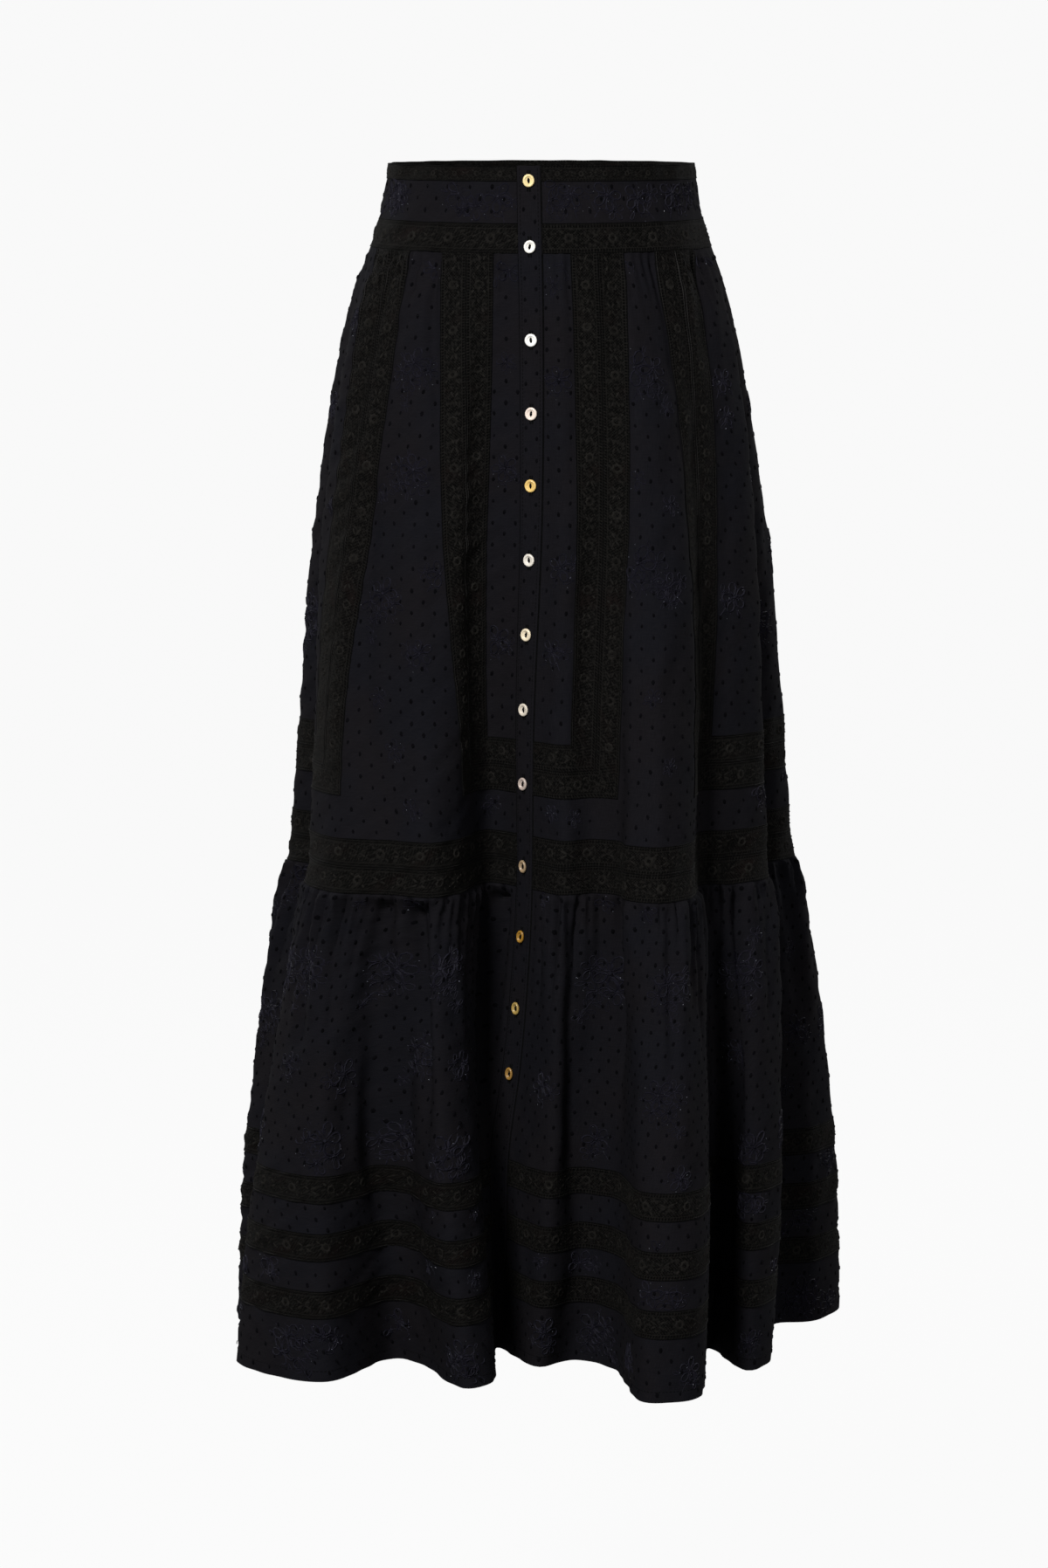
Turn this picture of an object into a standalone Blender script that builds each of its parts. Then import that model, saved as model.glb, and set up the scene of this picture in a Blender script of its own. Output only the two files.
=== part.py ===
"""A tiered maxi skirt with a full-length button placket, worn shape, hollow and open at waist and hem.

The cloth is one surface that every piece is cut from. A place on it is (girth, drop): how far round the
body it lies from the placket's edge, and how far below the waist edge. Each level is a closed curve
through the fold lines of the FOLDS table. The pieces are walls between that surface and its inner side,
parted by a seam gap.

Metres. +Z up, the front faces -Y, +X is the viewer's right. The origin is the centre of the waist opening.
"""

import math

import bmesh
import bpy
import numpy as np
from mathutils import Vector

# Driving sizes
LENGTH = 0.965
WALL = 0.0014
SEAM_GAP = 0.0003
RIBBON = 0.0215
PLACKET_WIDTH = 0.0185
PLACKET_STEP = 0.0019
UNDERLAP = 0.003
BACK = 0.5

# Drops of the seams that run round the body
YOKE_LACE_DROP = 0.0118
YOKE_CLOTH_DROP = 0.0425
YOKE_DROP = 0.0645
FRAME_DROP = 0.4585
SEAM_DROP = 0.5350
TIER_DROP = SEAM_DROP + 2 * RIBBON
FIRST_LACE_DROP = 0.8025
LACE_PITCH = 0.0455

# How much further the yoke's seams drop at the front than at the back, and the drop over which that fades
YOKE_DIP = 0.0045
YOKE_DIP_FADE = 0.12

# The body's girth without folds: half width, and half depth to the front and to the back, at each drop
PROFILE_COLUMNS = ("drop", "half_width", "front", "back")
PROFILE = (
    (0.000, 0.1240, 0.090, 0.092),
    (0.040, 0.1305, 0.095, 0.098),
    (0.065, 0.1385, 0.099, 0.104),
    (0.085, 0.1460, 0.103, 0.109),
    (0.110, 0.1552, 0.107, 0.114),
    (0.166, 0.1692, 0.115, 0.124),
    (0.223, 0.1792, 0.123, 0.131),
    (0.281, 0.1876, 0.130, 0.137),
    (0.339, 0.1944, 0.136, 0.142),
    (0.397, 0.1988, 0.142, 0.147),
    (0.455, 0.2028, 0.148, 0.152),
    (0.513, 0.2074, 0.155, 0.158),
    (0.572, 0.2123, 0.162, 0.165),
    (0.602, 0.2203, 0.168, 0.172),
    (0.661, 0.2308, 0.178, 0.184),
    (0.720, 0.2390, 0.188, 0.196),
    (0.780, 0.2456, 0.198, 0.207),
    (0.840, 0.2510, 0.208, 0.217),
    (0.901, 0.2536, 0.216, 0.225),
    (0.965, 0.2555, 0.222, 0.232),
)

# The fold lines, round from the placket by the viewer's right to the back and on to the placket again.
# waist_angle is where a line starts on the yoke, in degrees from the front. The other columns are where it
# stands at the tier seam and at the hem.
FOLD_COLUMNS = ("waist_angle", "seam_x", "seam_y", "hem_x", "hem_y")
FOLDS = (
    (-1.0, -0.009, -0.130, -0.0330, -0.108),
    (7.0, 0.018, -0.156, -0.0020, -0.166),
    (14.0, 0.040, -0.146, 0.0288, -0.145),
    (20.0, 0.060, -0.154, 0.0580, -0.172),
    (27.0, 0.070, -0.180, 0.0777, -0.266),
    (35.0, 0.092, -0.191, 0.1010, -0.272),
    (43.0, 0.116, -0.170, 0.1251, -0.255),
    (51.0, 0.130, -0.106, 0.1390, -0.110),
    (61.0, 0.152, -0.102, 0.1630, -0.175),
    (71.0, 0.184, -0.070, 0.1860, -0.150),
    (83.0, 0.166, -0.010, 0.1940, -0.035),
    (93.0, 0.198, 0.015, 0.2300, -0.022),
    (102.0, 0.210, 0.040, 0.2545, 0.025),
    (115.0, 0.178, 0.085, 0.2050, 0.085),
    (129.0, 0.166, 0.135, 0.2050, 0.165),
    (141.0, 0.118, 0.128, 0.1380, 0.145),
    (153.0, 0.092, 0.172, 0.1100, 0.235),
    (166.0, 0.040, 0.150, 0.0500, 0.165),
    (180.0, 0.000, 0.180, 0.0000, 0.240),
    (195.0, -0.045, 0.150, -0.0550, 0.170),
    (209.0, -0.098, 0.170, -0.1150, 0.228),
    (222.0, -0.130, 0.122, -0.1500, 0.135),
    (235.0, -0.172, 0.125, -0.2120, 0.150),
    (248.0, -0.180, 0.072, -0.2050, 0.062),
    (261.0, -0.208, 0.020, -0.2550, -0.010),
    (273.0, -0.166, -0.028, -0.2150, -0.060),
    (284.0, -0.188, -0.090, -0.2470, -0.152),
    (297.0, -0.165, -0.140, -0.1735, -0.212),
    (313.0, -0.122, -0.154, -0.1166, -0.140),
    (327.0, -0.086, -0.166, -0.0620, -0.230),
    (337.0, -0.068, -0.148, -0.0400, -0.214),
    (346.0, -0.042, -0.094, -0.0385, -0.135),
)

# How the folds grow from the yoke to the tier seam: 1 is evenly, less is sooner
FOLD_GROWTH = 0.88

# Where the placket's edge stands sideways: drop, x
PLACKET_LINE = (
    (0.000, -0.0010),
    (0.140, 0.0012),
    (0.280, 0.0003),
    (0.440, -0.0060),
    (0.620, -0.0090),
    (0.720, -0.0165),
    (0.800, -0.0265),
    (0.880, -0.0285),
    (0.965, -0.0340),
)

# Widths of the body's panels from the placket outwards, at each drop
PANEL_COLUMNS = ("drop", "centre_right", "side_right", "centre_left", "side_left")
PANELS = (
    (YOKE_DROP, 0.023, 0.028, 0.020, 0.030),
    (0.180, 0.027, 0.044, 0.024, 0.046),
    (0.300, 0.032, 0.060, 0.029, 0.067),
    (FRAME_DROP, 0.038, 0.090, 0.029, 0.106),
    (SEAM_DROP, 0.040, 0.100, 0.031, 0.122),
)

# Gathers: how many, how far they stand out, and the drops over which they start and fade
TIER_GATHERS = 88
TIER_GATHER_HEIGHT = 0.0021
TIER_GATHER_START = 0.004
TIER_GATHER_FADE = 0.085
YOKE_GATHERS = 88
YOKE_GATHER_HEIGHT = 0.0010
YOKE_GATHER_START = 0.006
YOKE_GATHER_FADE = 0.070
# The gathers stop this far from the placket, and swell and shrink by this share in two slow waves
PLACKET_CLEAR = 0.012
UNEVEN = 0.45
UNEVEN_WAVES = (37.0, 83.0)

# Buttons: the underside is smaller by the undercut, and the face is sunk by the dish inside the rim
BUTTON_RADIUS = 0.0057
BUTTON_THICKNESS = 0.0026
BUTTON_RIM = 0.0016
BUTTON_UNDERCUT = 0.0006
BUTTON_DISH = 0.0005
BUTTON_SIDES = 10
BUTTON_DROPS = (
    0.0115, 0.0597, 0.1362, 0.1962, 0.2535, 0.3130, 0.3730, 0.4335, 0.4935, 0.5605, 0.6180, 0.6773, 0.7317
)

# Drops of the rows of points. Neighbours share them, so that their edges run alike.
HALF_FRAME = FRAME_DROP + RIBBON
FRAME_END = FRAME_DROP + 2 * RIBBON
HALF_YOKE = 0.5 * (YOKE_LACE_DROP + YOKE_CLOTH_DROP)
YOKE_ROWS = (0.0, YOKE_LACE_DROP, HALF_YOKE, YOKE_CLOTH_DROP, YOKE_DROP)
BODY_ROWS = (YOKE_DROP, 0.080, 0.105, 0.150, 0.210, 0.280, 0.350, 0.410, 0.4525)
FRAME_ROWS = (FRAME_DROP, HALF_FRAME, FRAME_END, SEAM_DROP, SEAM_DROP + RIBBON)
TIER_STEPS = (0.0, 0.009, 0.038, 0.100, 0.158)
TIER_ROWS = tuple(TIER_DROP + step for step in TIER_STEPS) + (FIRST_LACE_DROP,)
LACE_ROWS = tuple(FIRST_LACE_DROP + LACE_PITCH * number for number in range(3))
HEM_ROWS = LACE_ROWS + tuple(row + RIBBON for row in LACE_ROWS) + (LENGTH,)

# How many columns of cells each kind of piece has
RIBBON_COLUMNS = 2
PLACKET_COLUMNS = 4
CENTRE_COLUMNS = 6
SIDE_COLUMNS = 10
FRONT_TURN_COLUMNS = 8
BACK_TURN_COLUMNS = 22
BACK_PANEL_COLUMNS = 26
BACK_LOWER_COLUMNS = 36
YOKE_COLUMNS = 36
BAND_COLUMNS = 36

# Sampling of the surface. The columns bunch where the hem bends, by a weight smoothed over a window.
LEVELS = 194
ROUND = 1440
KNOT_POWER = 0.75
BEND_WEIGHT = 0.022
BEND_WINDOW = 25
SHARP_DEGREES = 50

# Colours: base colour, roughness
CLOTH_FINISH = ((0.010, 0.010, 0.014, 1.0), 0.85)
LACE_FINISH = ((0.013, 0.011, 0.008, 1.0), 0.80)
SHELL_FINISH = ((0.80, 0.74, 0.64, 1.0), 0.25)


def column(table, names, name):
    """One named column of a table."""
    return np.array([row[names.index(name)] for row in table])


def smooth(share):
    """0 to 1 with a level start and end."""
    share = np.clip(share, 0.0, 1.0)
    return share * share * (3.0 - 2.0 * share)


def spline(knots, values, at):
    """A smooth curve through values at rising knots, read at the places `at`."""
    slopes = np.gradient(values, knots, axis=0)
    first = np.clip(np.searchsorted(knots, at, side="right") - 1, 0, len(knots) - 2)
    shape = (-1,) + (1,) * (values.ndim - 1)
    width = (knots[first + 1] - knots[first]).reshape(shape)
    t = ((at - knots[first]).reshape(shape)) / width
    start = (2 * t**3 - 3 * t**2 + 1) * values[first] + (t**3 - 2 * t**2 + t) * width * slopes[first]
    end = (3 * t**2 - 2 * t**3) * values[first + 1] + (t**3 - t**2) * width * slopes[first + 1]
    return start + end


def profile(drop):
    """Half width, front depth and back depth at each drop."""
    knots = column(PROFILE, PROFILE_COLUMNS, "drop")
    values = np.array([row[1:] for row in PROFILE])
    return spline(knots, values, drop)


def fold_points(drops):
    """Every fold line at every drop: an array of (folds, drops, 2)."""
    angles = np.radians(column(FOLDS, FOLD_COLUMNS, "waist_angle"))
    at_waist = np.stack([np.sin(angles), -np.cos(angles)], axis=-1)
    levels = profile(np.array([SEAM_DROP + RIBBON, LENGTH]))
    shares = []
    for level, name in zip(levels, ("seam", "hem")):
        x = column(FOLDS, FOLD_COLUMNS, name + "_x")
        y = column(FOLDS, FOLD_COLUMNS, name + "_y")
        shares.append(np.stack([x / level[0], y / np.where(y < 0, level[1], level[2])], axis=-1))
    body = np.clip((drops - YOKE_DROP) / (SEAM_DROP + RIBBON - YOKE_DROP), 0, 1) ** FOLD_GROWTH
    tier = np.clip((drops - SEAM_DROP - RIBBON) / (LENGTH - SEAM_DROP - RIBBON), 0, 1)
    share = at_waist[:, None] + (shares[0] - at_waist)[:, None] * body[None, :, None]
    share = share + (shares[1] - shares[0])[:, None] * tier[None, :, None]
    size = profile(drops)
    depth = np.where(share[..., 1] < 0, size[None, :, 1], size[None, :, 2])
    points = np.stack([share[..., 0] * size[None, :, 0], share[..., 1] * depth], axis=-1)
    line = np.array(PLACKET_LINE)
    points[0, :, 0] = spline(line[:, 0], line[:, 1], drops)
    return points


class Surface:
    """The whole cloth: points and outward normals at (girth, drop)."""

    def __init__(self):
        self.drops = np.linspace(0.0, LENGTH, LEVELS)
        points = fold_points(self.drops)
        steps = np.linalg.norm(np.roll(points, -1, axis=0) - points, axis=-1).mean(axis=1)
        knots = np.concatenate([[0.0], np.cumsum(steps**KNOT_POWER)])
        wrap = 3
        total = knots[-1]
        knots = np.concatenate([knots[-wrap - 1 : -1] - total, knots, knots[1 : wrap + 1] + total])
        values = np.concatenate([points[-wrap:], points, points[: wrap + 1]])
        around = spline(knots, values, np.linspace(0.0, total, ROUND * 2 + 1))
        lengths = np.linalg.norm(np.diff(around, axis=0), axis=-1)
        along = np.concatenate([np.zeros((1, LEVELS)), np.cumsum(lengths, axis=0)])
        self.girth = along[-1]
        shares = np.linspace(0.0, 1.0, ROUND + 1)
        self.grid = np.zeros((LEVELS, ROUND + 1, 3))
        for level in range(LEVELS):
            for axis in (0, 1):
                self.grid[level, :, axis] = np.interp(
                    shares, along[:, level] / self.girth[level], around[:, level, axis]
                )
        self.grid[:, :, 2] = -self.drops[:, None]
        closed = np.concatenate([self.grid[:, -3:-1], self.grid, self.grid[:, 1:3]], axis=1)
        sideways = (closed[:, 3:-1] - closed[:, 1:-3])
        downwards = np.gradient(self.grid, self.drops, axis=0)
        normals = np.cross(downwards, sideways)
        self.normals = normals / np.linalg.norm(normals, axis=-1, keepdims=True)

    def girth_at(self, drop):
        """The length round the cloth at a drop."""
        return np.interp(drop, self.drops, self.girth)

    def share(self, side, drop):
        """Metres from the placket's edge, less than zero to the viewer's left, as a share of the girth."""
        return np.where(side < 0, 1.0, 0.0) + side / self.girth_at(drop)

    def read(self, grid, share, drop):
        """A sampled grid read between its samples."""
        row = np.clip(drop / LENGTH * (LEVELS - 1), 0, LEVELS - 1 - 1e-9)
        col = np.clip(share * ROUND, 0, ROUND - 1e-9)
        i = row.astype(int)
        j = col.astype(int)
        a = (row - i)[..., None]
        b = (col - j)[..., None]
        upper = grid[i, j] * (1 - b) + grid[i, j + 1] * b
        lower = grid[i + 1, j] * (1 - b) + grid[i + 1, j + 1] * b
        return upper * (1 - a) + lower * a

    def at(self, share, drop, inward=0.0):
        """Points at a share of the girth and a drop, pushed inwards from the cloth's outer side."""
        normal = self.read(self.normals, share, drop)
        normal = normal / np.linalg.norm(normal, axis=-1, keepdims=True)
        return self.read(self.grid, share, drop) + normal * (self.gathers(share, drop) - inward)[..., None]

    def gathers(self, share, drop):
        """How far the gathered cloth stands out: small waves below the yoke and below the tier seam."""
        girth = self.girth_at(drop)
        clear = np.minimum(share * girth, (1.0 - share) * girth - PLACKET_WIDTH)
        flat = smooth((clear - UNDERLAP) / PLACKET_CLEAR)
        slow, quick = UNEVEN_WAVES
        uneven = flat * (1.0 + UNEVEN * np.sin(slow * share + 1.0) * np.sin(quick * share))
        below_seam = drop - TIER_DROP
        below_yoke = drop - YOKE_DROP
        tier = smooth(below_seam / TIER_GATHER_START) * (1.0 - smooth(below_seam / TIER_GATHER_FADE))
        yoke = smooth((below_yoke - YOKE_DIP) / YOKE_GATHER_START)
        yoke = yoke * (1.0 - smooth(below_yoke / YOKE_GATHER_FADE))
        tier_waves = TIER_GATHER_HEIGHT * np.cos(2 * math.pi * TIER_GATHERS * share) * tier
        yoke_waves = YOKE_GATHER_HEIGHT * np.cos(2 * math.pi * YOKE_GATHERS * share) * yoke
        return (tier_waves + yoke_waves) * uneven

    def bend_columns(self, start, end, count):
        """Shares from start to end, closer together where the hem bends more."""
        ring = self.grid[-1]
        turn = np.abs(np.diff(np.unwrap(np.arctan2(*np.diff(ring[:, :2], axis=0).T[::-1]))))
        weight = 1.0 / ROUND + np.concatenate([[0.0], turn]) * BEND_WEIGHT
        wrapped = np.concatenate([weight[-BEND_WINDOW:], weight, weight[:BEND_WINDOW]])
        window = np.full(BEND_WINDOW, 1.0 / BEND_WINDOW)
        weight = np.convolve(wrapped, window, "same")[BEND_WINDOW:-BEND_WINDOW]
        measure = np.concatenate([[0.0], np.cumsum(weight)])
        shares = np.linspace(0.0, 1.0, len(measure))
        low, high = np.interp((start, end), shares, measure)
        return np.interp(np.linspace(low, high, count + 1), measure, shares)


def seam_drop(drop, share):
    """A seam's drop round the body: the yoke's seams dip at the front."""
    level = np.asarray(drop)
    dip = YOKE_DIP * smooth(level / YOKE_DROP) * (1.0 - smooth((level - YOKE_DROP) / YOKE_DIP_FADE))
    return drop + dip * (np.cos(2 * math.pi * share) * 0.5 + 0.5)


def closed_wall(name, outer, inner, finish, home):
    """A solid between an outer and an inner grid of points with the same rows and columns."""
    rows, cols = outer.shape[:2]
    mesh = bmesh.new()
    bmesh.ops.create_grid(mesh, x_segments=cols - 1, y_segments=rows - 1, size=1.0)
    made = bmesh.ops.extrude_face_region(mesh, geom=mesh.faces[:])
    copies = {item for item in made["geom"] if isinstance(item, bmesh.types.BMVert)}
    for vertex in mesh.verts:
        i = round((vertex.co.y + 1.0) / 2.0 * (rows - 1))
        j = round((vertex.co.x + 1.0) / 2.0 * (cols - 1))
        vertex.co = inner[i, j] if vertex in copies else outer[i, j]
    bmesh.ops.recalc_face_normals(mesh, faces=mesh.faces[:])
    if mesh.calc_volume(signed=True) < 0:
        bmesh.ops.reverse_faces(mesh, faces=mesh.faces[:])
    return finished(name, mesh, finish, home)


def finished(name, mesh, finish, home):
    """The mesh as a smooth-shaded object with its own material, in its collection."""
    data = bpy.data.meshes.new(name)
    mesh.to_mesh(data)
    mesh.free()
    data.shade_smooth()
    data.set_sharp_from_angle(angle=math.radians(SHARP_DEGREES))
    piece = bpy.data.objects.new(name, data)
    material = bpy.data.materials.new(name)
    material.use_nodes = True
    shader = material.node_tree.nodes["Principled BSDF"]
    shader.inputs["Base Color"].default_value = finish[0]
    shader.inputs["Roughness"].default_value = finish[1]
    shader.inputs["Metallic"].default_value = 0.0
    data.materials.append(material)
    home.objects.link(piece)
    return piece


def cut_piece(name, cloth, share, drop, finish, home, lift=0.0):
    """A piece of the cloth over grids of girth shares and drops, its outer side `lift` further in."""
    outer = cloth.at(share, drop, lift)
    inner = cloth.at(share, drop, lift + WALL)
    return closed_wall(name, outer, inner, finish, home)


def ring_piece(name, cloth, shares, tops, finish, home):
    """A strip round the body over rising girth shares and through the drops in `tops`."""
    drops = np.array(tops, float)
    drops[0] += SEAM_GAP / 2
    drops[-1] -= SEAM_GAP / 2
    girth = cloth.girth_at(drops)[:, None]
    first = shares[0] + (SEAM_GAP / 2) / girth
    last = shares[-1] - (SEAM_GAP / 2 + (PLACKET_WIDTH if shares[-1] == 1.0 else 0.0)) / girth
    around = (shares - shares[0]) / (shares[-1] - shares[0])
    share = first + (last - first) * around
    return cut_piece(name, cloth, share, seam_drop(drops[:, None], share), finish, home)


def side_lines(cloth, drop, sign):
    """Metres from the placket's edge to the lines between the body's panels, outwards, at each drop."""
    side = "right" if sign > 0 else "left"
    knots = column(PANELS, PANEL_COLUMNS, "drop")
    centre = np.interp(drop, knots, column(PANELS, PANEL_COLUMNS, "centre_" + side))
    front = np.interp(drop, knots, column(PANELS, PANEL_COLUMNS, "side_" + side))
    start = 0.0 if sign > 0 else PLACKET_WIDTH
    first = start + centre
    second = first + 2 * RIBBON
    third = second + front
    return start, first, second, third, third + 2 * RIBBON


def panel(name, cloth, sign, left, right, tops, columns, finish, home):
    """A body panel between two side lines, given as functions of the drop in metres from the placket."""
    drops = np.array(tops, float)
    across = np.linspace(0.0, 1.0, columns + 1)
    drop = np.zeros((len(drops), columns + 1))
    share = np.zeros_like(drop)
    for row, level in enumerate(drops):
        near = left(level) + SEAM_GAP / 2
        far = right(level) - SEAM_GAP / 2
        side = sign * (near + (far - near) * across)
        share[row] = cloth.share(side, level)
        drop[row] = seam_drop(level, share[row])
    drop[0] += SEAM_GAP / 2
    drop[-1] -= SEAM_GAP / 2
    return cut_piece(name, cloth, share, drop, finish, home)


def turned_ribbon(name, cloth, sign, near, far, stops, columns, end, finish, home, turn):
    """A ribbon that runs down from the yoke, then turns with a mitre and runs level to `end`.

    near and far are its two edges as functions of the drop. turn is -1 where it turns to the placket and
    +1 where it turns outwards. stops are the last drops of the edge inside the turn and of the other.
    """
    inner_edge, outer_edge = (near, far) if turn < 0 else (far, near)
    gap = SEAM_GAP / 2
    run = np.linspace(0.0, 1.0, columns + 1)[1:]
    edges = []
    for edge, last_drops, push in ((inner_edge, stops[0], 1.0), (outer_edge, stops[1], -1.0)):
        drops = np.array(BODY_ROWS + last_drops)
        drops[-1] += push * gap
        inset = gap if edge is near else -gap
        sides = np.array([edge(drop) + inset for drop in drops])
        stop = end(drops[-1]) + (gap if turn < 0 else -gap)
        sides = np.concatenate([sides, sides[-1] + (stop - sides[-1]) * run])
        drops = np.concatenate([drops, np.full(columns, drops[-1])])
        edges.append((cloth.share(sign * sides, drops), drops))
    across = np.linspace(0.0, 1.0, RIBBON_COLUMNS + 1)[:, None]
    share = edges[0][0] * (1 - across) + edges[1][0] * across
    drop = edges[0][1] * (1 - across) + edges[1][1] * across
    drop = seam_drop(drop, share)
    drop[:, 0] += gap
    return cut_piece(name, cloth, share, drop, finish, home)


def build_yoke(cloth, home):
    """The narrow lace at the waist edge, the cloth band and the wider lace under it."""
    shares = np.linspace(0.0, 1.0, YOKE_COLUMNS + 1)
    ring_piece("yoke_lace_top", cloth, shares, YOKE_ROWS[:2], LACE_FINISH, home)
    ring_piece("yoke_cloth", cloth, shares, YOKE_ROWS[1:4], CLOTH_FINISH, home)
    ring_piece("yoke_lace_lower", cloth, shares, YOKE_ROWS[3:], LACE_FINISH, home)


def build_placket(cloth, home):
    """The strip on top lies in the cloth's own surface. The other lies one step further in."""
    levels = np.array(sorted(YOKE_ROWS + BODY_ROWS[1:] + FRAME_ROWS + TIER_ROWS[:-1] + HEM_ROWS))
    columns = np.linspace(-PLACKET_WIDTH + SEAM_GAP / 2, -SEAM_GAP / 2, PLACKET_COLUMNS + 1)
    for name, sides, lift in (
        ("placket_top", columns, 0.0),
        ("placket_under", np.append(columns, UNDERLAP), PLACKET_STEP),
    ):
        side = sides[None, :] + np.zeros((len(levels), 1))
        share = side / cloth.girth_at(levels)[:, None]
        drop = seam_drop(levels[:, None], share)
        cut_piece(name, cloth, np.mod(share, 1.0), drop, CLOTH_FINISH, home, lift)


def build_body(cloth, sign, side, home):
    """One side's panels and ribbons between the yoke and the tier seam."""

    def line(number):
        """The panel line of this number, as a function of the drop."""
        return lambda drop: side_lines(cloth, drop, sign)[number]

    def middle(first, second):
        """The line half way between two panel lines."""
        return lambda drop: 0.5 * (line(first)(drop) + line(second)(drop))

    def back(drop):
        """The centre back."""
        return BACK * cloth.girth_at(drop)

    to_frame = BODY_ROWS + (FRAME_DROP,)
    below = (FRAME_END, SEAM_DROP)
    to_seam = to_frame + (HALF_FRAME,) + below
    near_frame = 0.5 * (BODY_ROWS[-1] + FRAME_DROP)
    near_half = 0.5 * (FRAME_DROP + HALF_FRAME)
    upper_stops = ((near_frame, FRAME_DROP), (FRAME_DROP, HALF_FRAME))
    lower_stops = ((FRAME_DROP, near_half, HALF_FRAME), (FRAME_DROP, HALF_FRAME, FRAME_END))
    panels = (
        ("front_centre_", line(0), line(1), to_frame, CENTRE_COLUMNS),
        ("front_lower_", line(0), line(2), below, SIDE_COLUMNS),
        ("front_side_", line(2), line(3), to_seam, SIDE_COLUMNS),
    )
    for name, left, right, tops, columns in panels:
        panel(name + side, cloth, sign, left, right, tops, columns, CLOTH_FINISH, home)
    ribbons = (
        ("lace_front_inner_", line(1), middle(1, 2), upper_stops, FRONT_TURN_COLUMNS, line(0), -1),
        ("lace_front_outer_", middle(1, 2), line(2), lower_stops, FRONT_TURN_COLUMNS, line(0), -1),
        ("lace_side_inner_", middle(3, 4), line(4), upper_stops, BACK_TURN_COLUMNS, back, 1),
        ("lace_side_outer_", line(3), middle(3, 4), lower_stops, BACK_TURN_COLUMNS, back, 1),
    )
    for name, near, far, stops, columns, end, turn in ribbons:
        turned_ribbon(name + side, cloth, sign, near, far, stops, columns, end, LACE_FINISH, home, turn)


def build_back(cloth, home):
    """The plain back: one panel above the level ribbons and one strip below them."""

    def across(tops, first, last, columns, name):
        """A piece from one of the right side's panel lines round the back to one of the left side's."""
        drops = np.array(tops, float)
        run = np.linspace(0.0, 1.0, columns + 1)
        share = np.zeros((len(drops), columns + 1))
        drop = np.zeros_like(share)
        for row, level in enumerate(drops):
            girth = cloth.girth_at(level)
            near = (side_lines(cloth, level, 1)[first] + SEAM_GAP / 2) / girth
            far = 1.0 - (side_lines(cloth, level, -1)[last] + SEAM_GAP / 2) / girth
            share[row] = near + (far - near) * run
            drop[row] = seam_drop(level, share[row])
        drop[0] += SEAM_GAP / 2
        drop[-1] -= SEAM_GAP / 2
        cut_piece(name, cloth, share, drop, CLOTH_FINISH, home)

    across(BODY_ROWS + (FRAME_DROP,), 4, 4, BACK_PANEL_COLUMNS, "back_panel")
    across((FRAME_END, SEAM_DROP), 3, 3, BACK_LOWER_COLUMNS, "back_lower")


def build_tier(cloth, home):
    """The two ribbons on the tier seam, the gathered cloth, and the lace and cloth strips above the hem."""
    bands = [
        ("seam_lace_upper", (SEAM_DROP, SEAM_DROP + RIBBON), LACE_FINISH),
        ("seam_lace_lower", (SEAM_DROP + RIBBON, TIER_DROP), LACE_FINISH),
        ("tier_cloth", TIER_ROWS, CLOTH_FINISH),
    ]
    for number, top in enumerate(LACE_ROWS, 1):
        bands.append((f"tier_lace_{number}", (top, top + RIBBON), LACE_FINISH))
        name = f"tier_strip_{number}" if number < 3 else "hem_strip"
        bottom = LACE_ROWS[number] if number < 3 else LENGTH
        bands.append((name, (top + RIBBON, bottom), CLOTH_FINISH))
    for side, start, end in (("right", 0.0, BACK), ("left", BACK, 1.0)):
        even = np.linspace(start, end, TIER_GATHERS + 1)
        bends = cloth.bend_columns(start, end, BAND_COLUMNS)
        for name, tops, finish in bands:
            shares = even if name == "tier_cloth" else bends
            ring_piece(f"{name}_{side}", cloth, shares, tops, finish, home)


def build_buttons(cloth, home):
    """Thirteen discs with a raised rim down the middle of the placket."""
    turns = np.linspace(0.0, 2 * math.pi, BUTTON_SIDES, endpoint=False)
    for number, level in enumerate(BUTTON_DROPS, 1):
        side = np.concatenate([[0.0], BUTTON_RADIUS * np.cos(turns)]) - PLACKET_WIDTH / 2
        drop = np.concatenate([[0.0], BUTTON_RADIUS * np.sin(turns)]) + level
        share = cloth.share(side, drop)
        under = cloth.at(share, drop)
        normal = (cloth.at(share, drop, -1.0) - under).mean(axis=0)
        normal = normal / np.linalg.norm(normal)
        height = ((under - under.mean(axis=0)) @ normal).max()
        seat = under.mean(axis=0) + normal * (height + SEAM_GAP)
        mesh = bmesh.new()
        bmesh.ops.create_cone(mesh, cap_ends=True, segments=BUTTON_SIDES, depth=BUTTON_THICKNESS,
                              radius1=BUTTON_RADIUS - BUTTON_UNDERCUT, radius2=BUTTON_RADIUS)
        face = max(mesh.faces, key=lambda item: item.calc_center_median().z)
        bmesh.ops.inset_region(mesh, faces=[face], thickness=BUTTON_RIM, depth=-BUTTON_DISH)
        for vertex in mesh.verts:
            vertex.co.z += BUTTON_THICKNESS / 2
        piece = finished(f"button_{number:02d}", mesh, SHELL_FINISH, home)
        piece.rotation_mode = "QUATERNION"
        piece.rotation_quaternion = Vector(normal).to_track_quat("Z", "Y")
        piece.location = seat


def main():
    """Clear the scene and build every piece in one collection."""
    for item in list(bpy.data.objects):
        bpy.data.objects.remove(item, do_unlink=True)
    home = bpy.data.collections.new("tiered_maxi_skirt")
    bpy.context.scene.collection.children.link(home)
    cloth = Surface()
    build_yoke(cloth, home)
    build_placket(cloth, home)
    build_body(cloth, 1.0, "right", home)
    build_body(cloth, -1.0, "left", home)
    build_back(cloth, home)
    build_tier(cloth, home)
    build_buttons(cloth, home)


if __name__ == "__main__":
    main()
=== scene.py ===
import math

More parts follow.
